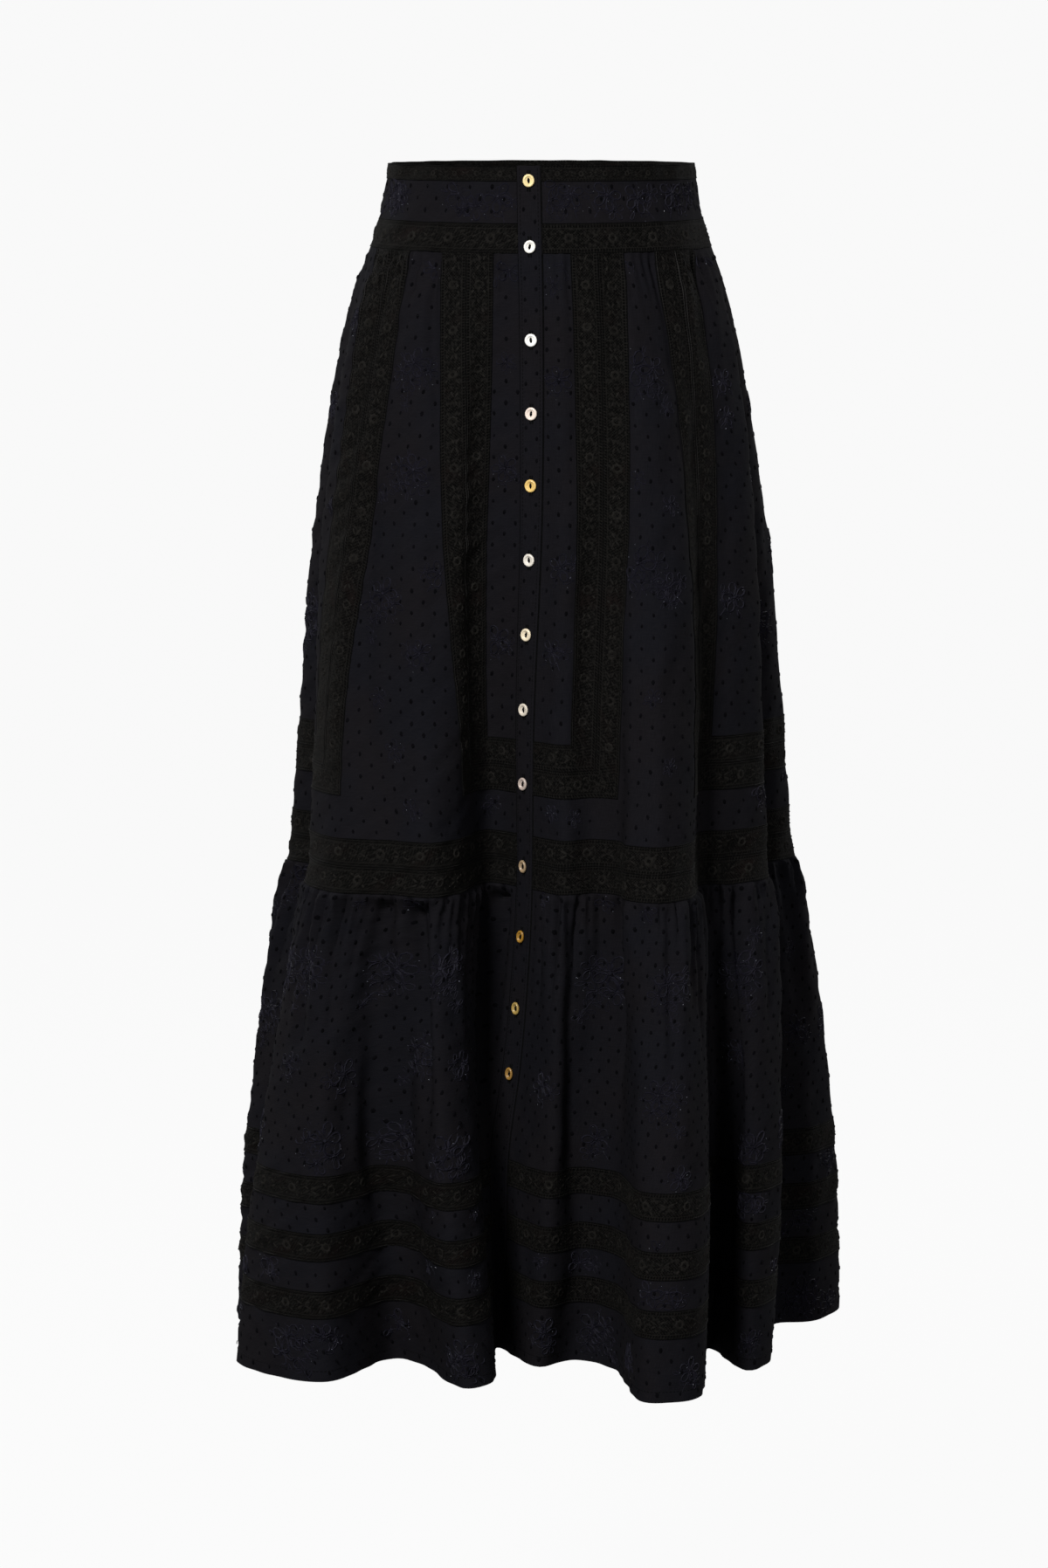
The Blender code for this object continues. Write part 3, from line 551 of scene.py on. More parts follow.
def ramp_of(tree, factor, low, high):
    """0 below low, 1 above high."""
    node = link_new(tree, "ShaderNodeMapRange", (("Value", factor), ("From Min", low), ("From Max", high)))
    return node.outputs[0]


def set_fabric(shader, roughness, specular, sheen, tint):
    """The plain numbers of a matt fabric, with a narrow glow of loose fibres at its edges."""
    shader.inputs["Roughness"].default_value = roughness
    shader.inputs["Specular IOR Level"].default_value = specular
    shader.inputs["Sheen Weight"].default_value = sheen
    shader.inputs["Sheen Roughness"].default_value = 0.18
    shader.inputs["Sheen Tint"].default_value = (*tint, 1.0)


def math_of(tree, operation, first, second=0.0, clamp=False):
    """One step of arithmetic on sockets or numbers."""
    return link_new(tree, "ShaderNodeMath", ((0, first), (1, second)), operation=operation,
                    use_clamp=clamp).outputs[0]


def cloth_finish(name, colour, second):
    """Cotton: a fine weave with thicker threads here and there, in two close colours, softly crumpled."""
    material, tree, shader = nodes_of(name)
    place, body = coordinates(tree, "UV"), coordinates(tree, "Object")
    threads = []
    for stretch in ((1300.0, 120.0, 1.0), (110.0, 1300.0, 1.0)):
        stretched = link_new(tree, "ShaderNodeMapping", (("Vector", place), ("Scale", stretch)))
        threads.append(noise_of(tree, stretched.outputs[0], 1.0))
    weave = math_of(tree, "ADD", *threads)
    base = blend_of(tree, ramp_of(tree, noise_of(tree, body, 16.0, 3.0), 0.38, 0.64), colour, second)
    thread = blend_of(tree, ramp_of(tree, weave, 0.72, 1.30), shade(colour, 0.62), shade(colour, 1.34))
    tree.links.new(blend_of(tree, 0.45, base, thread), shader.inputs["Base Color"])
    fine = bump_of(tree, weave, 0.55, 0.00022)
    tree.links.new(bump_of(tree, noise_of(tree, body, 70.0), 0.5, 0.0015, fine), shader.inputs["Normal"])
    set_fabric(shader, 0.92, 0.03, 0.012, (0.8, 0.8, 0.9))
    return material


def lace_finish(name, colour):
    """Lace ribbon, in metres along and across it: a woven net with darker holes, closer where the figures
    lie, a ladder of bars along each edge, and two pale rails that hold them."""
    material, tree, shader = nodes_of(name)
    place = coordinates(tree, "UV")
    parts = link_new(tree, "ShaderNodeSeparateXYZ", (("Vector", place),))
    along, across = parts.outputs[0], parts.outputs[1]
    middle = math_of(tree, "ABSOLUTE", math_of(tree, "SUBTRACT", across, 0.5 * RIBBON))
    edge = math_of(tree, "SUBTRACT", 0.5 * RIBBON, middle)
    warp, weft = (math_of(tree, "SINE", math_of(tree, "MULTIPLY", way, 2 * math.pi / pitch))
                  for way, pitch in ((along, 0.0024), (across, 0.0021)))
    holes = ramp_of(tree, math_of(tree, "MULTIPLY", warp, weft), -0.10, 0.35)
    dense = ramp_of(tree, noise_of(tree, place, 230.0, 3.0), 0.50, 0.57)
    in_ladder = ramp_of(tree, edge, 0.0030, 0.0027)
    ladder = math_of(tree, "MULTIPLY", ramp_of(tree, warp, -0.2, 0.2), in_ladder)
    closed = math_of(tree, "MAXIMUM", math_of(tree, "SUBTRACT", dense, in_ladder, True), ladder)
    gap = math_of(tree, "SUBTRACT", math_of(tree, "MAXIMUM", holes, in_ladder), closed, True)
    thread = blend_of(tree, ramp_of(tree, noise_of(tree, place, 420.0), 0.38, 0.62),
                      shade(colour, 0.35), shade(colour, 1.75))
    rust = ramp_of(tree, noise_of(tree, place, 30.0, 1.0), 0.55, 0.75)
    thread = blend_of(tree, rust, thread, (1.15 * colour[0], 0.86 * colour[1], 0.86 * colour[2]))
    base = blend_of(tree, gap, thread, shade(colour, 0.12))
    for reach, width, factor in ((0.0033, 0.00035, 1.6), (0.0009, 0.00030, 1.3)):
        away = math_of(tree, "ABSOLUTE", math_of(tree, "SUBTRACT", edge, reach))
        base = blend_of(tree, ramp_of(tree, away, width, 0.6 * width), base, shade(colour, factor))
    tree.links.new(base, shader.inputs["Base Color"])
    relief = bump_of(tree, math_of(tree, "SUBTRACT", 1.0, gap), 0.7, 0.0004)
    tree.links.new(relief, shader.inputs["Normal"])
    set_fabric(shader, 0.9, 0.05, 0.012, (0.9, 0.85, 0.75))
    return material


def thread_finish(name, colour, specular, roughness):
    """Twisted thread: fine slanting ridges and small changes of tone."""
    material, tree, shader = nodes_of(name)
    body = coordinates(tree, "Object")
    tone = ramp_of(tree, noise_of(tree, body, 260.0), 0.35, 0.65)
    tree.links.new(blend_of(tree, tone, shade(colour, 0.7), shade(colour, 1.3)), shader.inputs["Base Color"])
    twist = bands_of(tree, body, 420.0, 1.5, "DIAGONAL")
    tree.links.new(bump_of(tree, twist, 0.5, 0.00015), shader.inputs["Normal"])
    set_fabric(shader, roughness, specular, 0.01, (0.8, 0.8, 0.85))
    return material


def shell_finish(name, colour):
    """Polished shell: soft clouds between two tints under a clear gloss."""
    material, tree, shader = nodes_of(name)
    body = coordinates(tree, "Object")
    cloud = ramp_of(tree, noise_of(tree, body, 210.0, 3.0, 1.2), 0.35, 0.65)
    pale = tuple(0.88 * part + 0.04 * max(colour) for part in colour)
    tree.links.new(blend_of(tree, cloud, colour, pale), shader.inputs["Base Color"])
    growth = bands_of(tree, body, 190.0, 6.0)
    tree.links.new(bump_of(tree, growth, 0.15, 0.0001), shader.inputs["Normal"])
    for key, value in (("Roughness", 0.32), ("Specular IOR Level", 0.4), ("Coat Weight", 0.2),
                       ("Coat Roughness", 0.12)):
        shader.inputs[key].default_value = value
    return material


FINISHES = {}
GROUNDS = {"lace": "lace_ground", "dotted_cloth": "dotted_cotton"}
FIGURE_BRIGHTNESS = 2.1
# Near-black thread for the stitches and the button threads; the same finish colours the dark cords that are
# painted seam and placket shadow
DARK_THREAD_AND_SHADOW = (0.002, 0.002, 0.002)
BEAD_GLASS = (0.110, 0.115, 0.140)


def finish_named(name):
    """The shared finish of this name, made when it is first asked for: threads have a colour, a gloss and a
    roughness."""
    colours = bpy.context.scene.skirt_colours
    threads = {
        "lace_thread": (shade(colours.lace, FIGURE_BRIGHTNESS), 0.03, 0.9),
        "piping_cord": (tuple(colours.piping), 0.12, 0.7),
        "dot_tuft": (tuple(colours.dot), 0.03, 0.95),
        "sprig_thread": (tuple(colours.embroidery), 0.05, 0.6),
        "dark_thread_and_shadow": (DARK_THREAD_AND_SHADOW, 0.05, 0.9),
        "bead": (BEAD_GLASS, 0.5, 0.3),
    }
    if name not in FINISHES:
        if name == "dotted_cotton":
            FINISHES[name] = cloth_finish(name, tuple(colours.cloth), tuple(colours.cloth_blue))
        elif name == "lace_ground":
            FINISHES[name] = lace_finish(name, tuple(colours.lace))
        else:
            FINISHES[name] = thread_finish(name, *threads[name])
    return FINISHES[name]


# Meshes


def grid_faces(rows, cols):
    """Quads of a grid whose rows run down and whose columns run to the viewer's right, facing out."""
    i, j = np.meshgrid(np.arange(rows - 1), np.arange(cols - 1), indexing="ij")
    corner = (i * cols + j).ravel()
    return np.stack([corner, corner + cols, corner + cols + 1, corner + 1], axis=-1)


def ring_faces(rows, cols, turned=False):
    """Quads of rings of points that close, from each ring to the next, or the same quads turned round."""
    i, j = np.meshgrid(np.arange(rows - 1), np.arange(cols), indexing="ij")
    here, after = (i * cols + j).ravel(), (i * cols + (j + 1) % cols).ravel()
    corners = [here, after, after + cols, here + cols] if turned else [here, here + cols, after + cols, after]
    return np.stack(corners, axis=-1)


def make_piece(name, points, faces, finish, places=None, sharp=50.0):
    """A piece from whole arrays of points and faces, with places as its UV map."""
    mesh = bpy.data.meshes.new(name)
    corners = np.concatenate([group.ravel() for group in faces])
    sizes = np.concatenate([np.full(len(group), group.shape[1]) for group in faces])
    starts = np.concatenate([[0], np.cumsum(sizes)[:-1]])
    mesh.vertices.add(len(points))
    mesh.vertices.foreach_set("co", np.asarray(points, np.float32).ravel())
    mesh.loops.add(len(corners))
    mesh.loops.foreach_set("vertex_index", corners.astype(np.int32))
    mesh.polygons.add(len(sizes))
    mesh.polygons.foreach_set("loop_start", starts.astype(np.int32))
    mesh.update(calc_edges=True)
    if mesh.validate():
        raise RuntimeError(name + " has faces that Blender had to repair")
    if places is not None:
        layer = mesh.uv_layers.new(name="cut")
        layer.data.foreach_set("uv", np.asarray(places, np.float32)[corners].ravel())
    mesh.shade_smooth()
    mesh.set_sharp_from_angle(angle=math.radians(sharp))
    mesh.materials.append(finish)
    piece = bpy.data.objects.new(name, mesh)
    bpy.context.scene.collection.objects.link(piece)
    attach(piece, "root")
    return piece


def cloth_shell(name, share, level, slot, nodes, flat=None, lift=None, places=None):
    """A closed thin wall: the outer grid, the same grid one thickness further in, and a rim between them."""
    share = np.asarray(share, float) + np.zeros_like(level)
    level = np.asarray(level, float) + np.zeros_like(share)
    side = share * CLOTH.girth_at(level)
    widths = side.max(axis=1) - side.min(axis=1)
    if places is None:
        places = np.stack([side, level], axis=-1)
    if lift is None:
        lift = LACE_LIFT if slot == "lace" else 0.0
    turn = np.gradient(level, axis=0) * np.gradient(share, axis=1)
    turn = turn - np.gradient(level, axis=1) * np.gradient(share, axis=0)
    lift = lift + np.zeros_like(share)
    if turn.mean() < 0:
        share, level, lift, places = share[:, ::-1], level[:, ::-1], lift[:, ::-1], places[:, ::-1]
    rows, cols = share.shape
    thickness = bpy.context.scene.skirt_sizes.cloth_thickness
    outer = CLOTH.at(share, level, lift).reshape(-1, 3)
    inner = CLOTH.at(share, level, lift - thickness).reshape(-1, 3)
    count = rows * cols
    front = grid_faces(rows, cols)
    number = np.arange(count).reshape(rows, cols)
    rim = np.concatenate([number[0, ::-1], number[1:, 0], number[-1, 1:], number[-2:0:-1, -1]])
    following = np.roll(rim, -1)
    edge = np.stack([rim, rim + count, following + count, following], axis=-1)
    places = places.reshape(-1, 2)
    piece = make_piece(name, np.concatenate([outer, inner]), [front, front[:, ::-1] + count, edge],
                       finish_named(GROUNDS[slot]), np.concatenate([places, places]))
    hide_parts(*nodes)
    if flat is None:
        flat = (float(widths.max()), float(level.max() - level.min()))


class Heap:
    """Many small raised shapes that become one piece: each is a pattern of points (right, up, out)."""

    def __init__(self):
        self.points = []
        self.faces = {}
        self.count = 0

    def stamp(self, pattern, share, level, turn=0.0, size=1.0, lift=0.0, mirror=1.0):
        """Copies of a pattern at shares and levels. Each point is turned, then laid on the cloth."""
        share = np.atleast_1d(np.asarray(share, float))
        level = np.atleast_1d(np.asarray(level, float)) + np.zeros_like(share)
        share = share + np.zeros_like(level)
        if not len(share):
            return
        points, faces = pattern
        turn, size, mirror = (np.broadcast_to(np.asarray(value, float), share.shape)[:, None]
                              for value in (turn, size, mirror))
        x = points[None, :, 0] * mirror * size
        y = points[None, :, 1] * size
        right = x * np.cos(turn) - y * np.sin(turn)
        up = x * np.sin(turn) + y * np.cos(turn)
        levels = level[:, None] - up
        shares = share[:, None] + right / CLOTH.girth_at(level)[:, None]
        heights = points[None, :, 2] * size + lift
        laid = CLOTH.at(np.clip(shares, 0.0, 1.0), np.clip(levels, 0.0, LENGTH), heights)
        self.add(laid.reshape(-1, 3), faces, len(share), len(points), mirror[:, 0] < 0)

    def add(self, points, faces, copies=1, each=None, flipped=None):
        """Points with their faces, once or for several copies, turned round on the flipped ones."""
        each = len(points) if each is None else each
        flipped = np.zeros(copies, bool) if flipped is None else flipped
        starts = self.count + np.arange(copies) * each
        for group in faces:
            made = group[None] + starts[:, None, None]
            made[flipped] = made[flipped][:, :, ::-1]
            self.faces.setdefault(group.shape[1], []).append(made.reshape(-1, group.shape[1]))
        self.points.append(points)
        self.count += len(points)

    def piece(self, name, finish, slot, sharp=50.0):
        """All of it as one piece."""
        faces = [np.concatenate(groups) for groups in self.faces.values()]
        return make_piece(name, np.concatenate(self.points), faces, finish_named(finish), sharp=sharp)


def dome(width, length, height, sides=6, inner=0.62):
    """A low flat-topped bump: a base ring just under the cloth, a smaller ring above it, and a cap."""
    angles = np.linspace(0.0, 2 * math.pi, sides, endpoint=False)
    ring = np.stack([0.5 * width * np.cos(angles), 0.5 * length * np.sin(angles)], axis=-1)
    base = np.column_stack([ring, np.full(sides, FOOT)])
    top = np.column_stack([ring * inner, np.full(sides, height)])
    return np.concatenate([base, top]), [ring_faces(2, sides, True), (np.arange(sides) + sides)[None]]


def leaf(width, length, height, sides=8):
    """A pointed oval with a raised middle: the half width is the sine of the way along, to a point."""
    along = np.linspace(0.0, 1.0, sides // 2 + 1)
    half = 0.5 * width * np.sin(math.pi * along) ** 0.8
    right = np.column_stack([half, along * length])
    left = np.column_stack([-half[-2:0:-1], along[-2:0:-1] * length])
    ring = np.concatenate([right, left])
    points = np.column_stack([ring, np.full(len(ring), FOOT)])
    points = np.concatenate([points, [[0.0, 0.45 * length, height]]])
    here = np.arange(len(ring))
    return points, [np.stack([here, (here + 1) % len(ring), np.full(len(ring), len(ring))], axis=-1)]


def ring_flower(radius, height, petals=8, sides=16):
    """A raised ring with a scalloped rim round an open eye: three circles of points, the middle one high."""
    angles = np.linspace(0.0, 2 * math.pi, sides, endpoint=False)
    scallop = 1.0 + 0.12 * np.cos(petals * angles)
    rings = []
    for share, rise, rim in ((0.36, -0.2, 1.0), (0.66, 1.0, scallop), (1.0, -0.2, scallop)):
        wide = radius * share * rim
        rings.append(np.column_stack([wide * np.cos(angles), wide * np.sin(angles),
                                      np.full(sides, height * rise)]))
    return np.concatenate(rings), [ring_faces(3, sides)]


def outline(width, length, thread, height, point=0.5, count=9):
    """A stitched loop from the origin: across is the sine of the turn, up is one less its cosine. Its thread
    has two feet and a ridge between them."""
    turn = np.linspace(0.0, 2 * math.pi, count, endpoint=False)
    line = np.column_stack([0.5 * width * np.sin(turn) * np.sin(0.5 * turn) ** point,
                            0.5 * length * (1.0 - np.cos(turn))])
    ahead = np.roll(line, -1, axis=0) - np.roll(line, 1, axis=0)
    outward = np.column_stack([ahead[:, 1], -ahead[:, 0]])
    outward = outward / np.linalg.norm(outward, axis=-1, keepdims=True)
    rows = [np.column_stack([line + outward * offset * thread, np.full(count, rise)])
            for offset, rise in ((0.5, FOOT), (0.0, height), (-0.5, FOOT))]
    return np.concatenate(rows), [ring_faces(3, count, True)]


def bead_shape(width, height):
    """A small faceted bead: four corners and a point above them."""
    half = 0.5 * width
    points = np.array([(half, 0.0, FOOT), (0.0, half, FOOT), (-half, 0.0, FOOT), (0.0, -half, FOOT),
                       (0.0, 0.0, height)])
    return points, [np.array([(0, 1, 4), (1, 2, 4), (2, 3, 4), (3, 0, 4)])]


def ridge(width, length, height):
    """A short stitch: four corners and a raised line between its ends."""
    half, end = 0.5 * width, 0.5 * length
    points = np.array([(-half, -end, FOOT), (half, -end, FOOT), (half, end, FOOT), (-half, end, FOOT),
                       (0.0, -0.7 * end, height), (0.0, 0.7 * end, height)])
    quads = np.array([(1, 2, 5, 4), (3, 0, 4, 5)])
    ends = np.array([(0, 1, 4), (2, 3, 5)])
    return points, [quads, ends]


def cord_along(heap, share, level, width, height, inset=0.0):
    """A raised cord along a line on the cloth, or beside it by the inset: two feet and the ridge between."""
    girth = CLOTH.girth_at(level)
    along_share, along_level = np.gradient(share) * girth, np.gradient(level)
    reach = np.hypot(along_share, along_level)
    rows = []
    for offset, rise in ((-0.5, FOOT), (0.0, height), (0.5, FOOT)):
        shift = (inset + offset * width) / reach
        rows.append(CLOTH.at(share - along_level * shift / girth, level + along_share * shift,
                             np.full(len(share), rise)))
    heap.add(np.concatenate(rows), [grid_faces(3, len(share))])


# Where the cloth and the lace lie


def inside_cloth(share, level, margin):
    """True where a place lies on dotted cloth, at least the margin from every seam."""
    girth = CLOTH.girth_at(level)
    right = share * girth
    left = (1.0 - share) * girth
    found = np.zeros(share.shape, bool)
    for sign, side in ((1, right), (-1, left)):
        start, first, second, third, fourth = side_lines(level, sign)
        near = side <= 0.5 * girth
        upper = (level > YOKE_DROP + YOKE_DIP + margin) & (level < FRAME_DROP - margin)
        frame_part = (level >= FRAME_DROP - margin) & (level <= FRAME_END + margin)
        lower = (level > FRAME_END + margin) & (level < SEAM_DROP - margin)
        centre = (side > start + margin) & (side < first - margin)
        front = (side > second + margin) & (side < third - margin)
        found |= near & upper & (centre | front | (side > fourth + margin))
        found |= near & frame_part & front
        found |= near & lower & (side > start + margin)
    open_side = (right > margin) & (left > PLACKET_WIDTH + margin)
    bands = (level > YOKE_LACE_DROP + margin) & (level < YOKE_CLOTH_DROP - margin)
    tier = (level > TIER_DROP + margin) & (level < LENGTH - margin)
    for drop in LACE_DROPS:
        tier &= (level < drop - margin) | (level > drop + RIBBON + margin)
    found |= open_side & (bands | tier)
    placket = (left > margin) & (left < PLACKET_WIDTH - margin) & (level > margin) & (level < LENGTH - margin)
    return found | placket


def lattice(across, down, jitter=0.0, seed=3):
    """Half-drop lattices over every cut piece, as shares and levels: columns lie parallel to the piece's own
    centre line."""
    draw = np.random.default_rng(seed)
    shares, levels = [], []
    rows = np.arange(0.004, SEAM_DROP, down / 2)

    def keep(centre, reach, sign):
        picked = rows[(rows > YOKE_DROP) & (rows < SEAM_DROP)]
        number = np.arange(len(picked))
        half = int(reach / across) + 2
        ks = np.arange(-half, half + 1)
        level, k = np.meshgrid(picked, ks, indexing="ij")
        wanted = (number[:, None] + ks[None, :]) % 2 == 0
        side = centre(level) + k * across
        inside = wanted & (np.abs(k * across) < reach)
        level, side = level[inside], side[inside]
        level = level + jitter * draw.uniform(-1, 1, len(level))
        side = side + jitter * draw.uniform(-1, 1, len(side))
        shares.append(np.clip(share_of(side, level, sign), 0.0, 1.0))
        levels.append(level)

    for sign in (1, -1):
        for low, high, more in ((0, 1, RIBBON), (2, 3, 0.0)):
            def centre(level, low=low, high=high, sign=sign):
                lines = side_lines(level, sign)
                return 0.5 * (lines[low] + lines[high])
            lines = side_lines(np.array([SEAM_DROP]), sign)
            keep(centre, 0.5 * (lines[high] - lines[low])[0] + more, sign)

    def back(level):
        return 0.5 * CLOTH.girth_at(level)

    before = len(shares)
    keep(back, 0.75, 1)
    share, level = shares[before], levels[before]
    girth = CLOTH.girth_at(level)
    limits = [np.where(level < FRAME_DROP, side_lines(level, sign)[4], side_lines(level, sign)[3])
              for sign in (1, -1)]
    picked = (share * girth > limits[0]) & ((1.0 - share) * girth > limits[1])
    shares[before], levels[before] = share[picked], level[picked]

    def even(count, top, bottom):
        level = np.arange(top, bottom, down / 2)
        share = np.arange(count) / count
        level, share = np.meshgrid(level, share, indexing="ij")
        wanted = (np.arange(level.shape[0])[:, None] + np.arange(count)[None]) % 2 == 0
        level, share = level[wanted], share[wanted]
        shares.append(share + jitter * draw.uniform(-1, 1, len(share)) / 2.0)
        levels.append(level + jitter * draw.uniform(-1, 1, len(level)))

    first_row = 0.25 * min(down, 0.03)
    even(int(YOKE_ROUND / across / 2) * 2, YOKE_LACE_DROP + first_row, YOKE_CLOTH_DROP)
    even(int(HEM_ROUND / across / 2) * 2, TIER_DROP + first_row, LENGTH)
    share = np.mod(np.concatenate(shares), 1.0)
    return share, np.concatenate(levels)


def lace_runs():
    """Every straight run of lace as the shares, levels and turns of its repeats and their size."""
    pitch = bpy.context.scene.skirt_sizes.motif_pitch
    rows = [(0.5 * YOKE_LACE_DROP + 0.0004, 0.55, 0.0), (0.5 * (YOKE_CLOTH_DROP + YOKE_DROP), 1.0, 0.0)]
    rows += [(SEAM_DROP + (row + 0.5) * RIBBON, 1.0, 0.4 * row) for row in range(2)]
    rows += [(drop + 0.5 * RIBBON, 1.0, 0.3 * row) for row, drop in enumerate(LACE_DROPS)]
    runs = []
    for level, size, phase in rows:
        girth = float(CLOTH.girth_at(level))
        end = girth - PLACKET_WIDTH - LACE_CLEAR
        count = max(1, int(round((end - LACE_CLEAR) / (pitch * size))))
        side = LACE_CLEAR + (end - LACE_CLEAR) * (np.arange(count) + 0.5 + phase) / count
        side = side[side < end]
        runs.append((side / girth, np.full(len(side), level), np.zeros(len(side)), size))
    for sign in (1, -1):
        for line, shift, stop in ((1, 0.5, 0.0), (1, 1.5, 1.0), (3, 1.5, 0.0), (3, 0.5, 1.0)):
            bottom = FRAME_DROP + stop * RIBBON
            count = int((bottom - YOKE_DROP) / pitch)
            level = YOKE_DROP + 0.008 + (bottom - YOKE_DROP - 0.008) * (np.arange(count) + 0.5) / count
            side = side_lines(level, sign)[line] + shift * RIBBON
            runs.append((share_of(side, level, sign), level, np.full(count, 0.5 * math.pi), 1.0))
        for row in range(2):
            level = FRAME_DROP + (row + 0.5) * RIBBON
            start, first, _, _, last = (float(line) for line in side_lines(np.array(level), sign))
            half = 0.5 * float(CLOTH.girth_at(level))
            shift = RIBBON * row
            for begin, end in ((start + 0.003, first + shift), (last - shift, half)):
                count = max(1, int(round((end - begin) / pitch)))
                side = begin + (end - begin) * (np.arange(count) + 0.5) / count
                levels = np.full(count, level)
                runs.append((share_of(side, levels, sign), levels, np.zeros(count), 1.0))
    return runs


def frame_line(sign, line, number, down_count, run_counts, past_placket, past_back):
    """A line of the framing ribbons as side and level: down from the yoke, then level to the placket for the
    inner pair (line 1) or to the centre back for the outer pair (line 3)."""
    inner = line == 1
    corner = FRAME_DROP + (number if inner else 2 - number) * RIBBON
    down = np.linspace(YOKE_DROP, corner, down_count)
    side = side_lines(down, sign)[line] + number * RIBBON
    goal = 0.5 * float(CLOTH.girth_at(corner)) + past_back
    if inner:
        goal = float(side_lines(np.array(corner), sign)[0]) + past_placket
    run = side[-1] + (goal - side[-1]) * np.linspace(0.0, 1.0, run_counts[0 if inner else 1])[1:]
    return np.concatenate([side, run]), np.concatenate([down, np.full(len(run), corner)])


def seam_paths():
    """Every seam line where cloth meets lace or lace meets lace, as shares, levels and the sides of the line
    on which a pale cord lies."""
    paths = []
    whole = np.linspace(0.0, 1.0, 620)
    rows = [(EDGE, (1,)), (YOKE_LACE_DROP, (-1,)), (YOKE_CLOTH_DROP, (1,)), (YOKE_DROP, (-1,)),
            (SEAM_DROP, (1,)), (SEAM_DROP + RIBBON, (-1, 1)), (TIER_DROP, (-1,))]
    for drop in LACE_DROPS:
        rows += [(drop, (1,)), (drop + RIBBON, (-1,))]
    for level, sides in rows:
        girth = float(CLOTH.girth_at(level))
        side = EDGE + (girth - PLACKET_WIDTH - 2 * EDGE) * whole
        paths.append((side / girth, np.full(len(side), level), sides))
    for sign in (1, -1):
        for line in (1, 3):
            for number, sides in enumerate(((-sign,), (-1, 1), (sign,))):
                side, level = frame_line(sign, line, number, 110, (30, 160), EDGE, 0.0)
                paths.append((share_of(side, level, sign), level, sides))
    return paths


# Operators


class SKIRT_OT_yoke(bpy.types.Operator):
    """The narrow lace at the waist edge, the cloth band and the wider lace below it."""

    bl_idname = "skirt.yoke"
    bl_label = "Yoke"

    def execute(self, context):
        for name, top, bottom, slot, node, rests in (
            ("waist_lace", 0.0, YOKE_LACE_DROP, "lace", "yoke_lace_top", ()),
            ("yoke_band", YOKE_LACE_DROP, YOKE_CLOTH_DROP, "dotted_cloth", "yoke_cloth", ("waist_lace",)),
            ("yoke_lace", YOKE_CLOTH_DROP, YOKE_DROP, "lace", "yoke_lace_lower", ("yoke_band",)),
        ):
            ring_shell(name, top, bottom, 5, 300, slot, [node])
        return {"FINISHED"}


def ring_shell(name, top, bottom, rows, cols, slot, nodes, held="hung"):
    """A strip right round the skirt from one edge of the placket to the other."""
    under = OVERLAP if slot == "dotted_cloth" else 0.0
    first = top - under
    last = bottom + (under if bottom < LENGTH else 0.0)
    part = np.linspace(0.0, 1.0, rows + 1) ** (GATHER_ROWS if held == "gathered" else 1.0)
    level = first + (last - first) * part
    girth = CLOTH.girth_at(level)[:, None]
    side = -2 * UNDERLAP + (girth - PLACKET_WIDTH + 3 * UNDERLAP) * np.linspace(0.0, 1.0, cols + 1)
    places = None
    if slot == "lace":
        across = RIBBON * (level - top) / (bottom - top)
        places = np.stack([side, np.broadcast_to(across[:, None], side.shape)], axis=-1)
    cloth_shell(name, side / girth, level[:, None], slot, nodes, places=places)


class SKIRT_OT_placket(bpy.types.Operator):
    """The button strip on top, softly rounded at its long edges, and the strip under it."""

    bl_idname = "skirt.placket"
    bl_label = "Placket"

    def execute(self, context):
        rise = context.scene.skirt_sizes.placket_rise
        level = np.linspace(0.0, LENGTH, 194)[:, None]
        across = np.linspace(0.0, 1.0, 13)[None, :]
        half = 0.5 * (1.0 - np.cos(math.pi * across))
        for name, node, low, high, base, swell, rests in (
            ("button_strip", "placket_top", -PLACKET_WIDTH, 0.0, 0.5 * rise, 0.5 * rise, ()),
            ("strip_beneath", "placket_under", -PLACKET_WIDTH, UNDERLAP, -PLACKET_STEP, 0.0,
             ("button_strip",)),
        ):
            side = low + (high - low) * half + 0.0 * level
            lift = base + swell * np.sqrt(np.clip(1.0 - (2.0 * half - 1.0) ** 8, 0.0, 1.0)) + 0.0 * level
            cloth_shell(name, side / CLOTH.girth_at(level), level, "dotted_cloth", [node],
                        flat=(high - low, LENGTH), lift=lift)
        return {"FINISHED"}


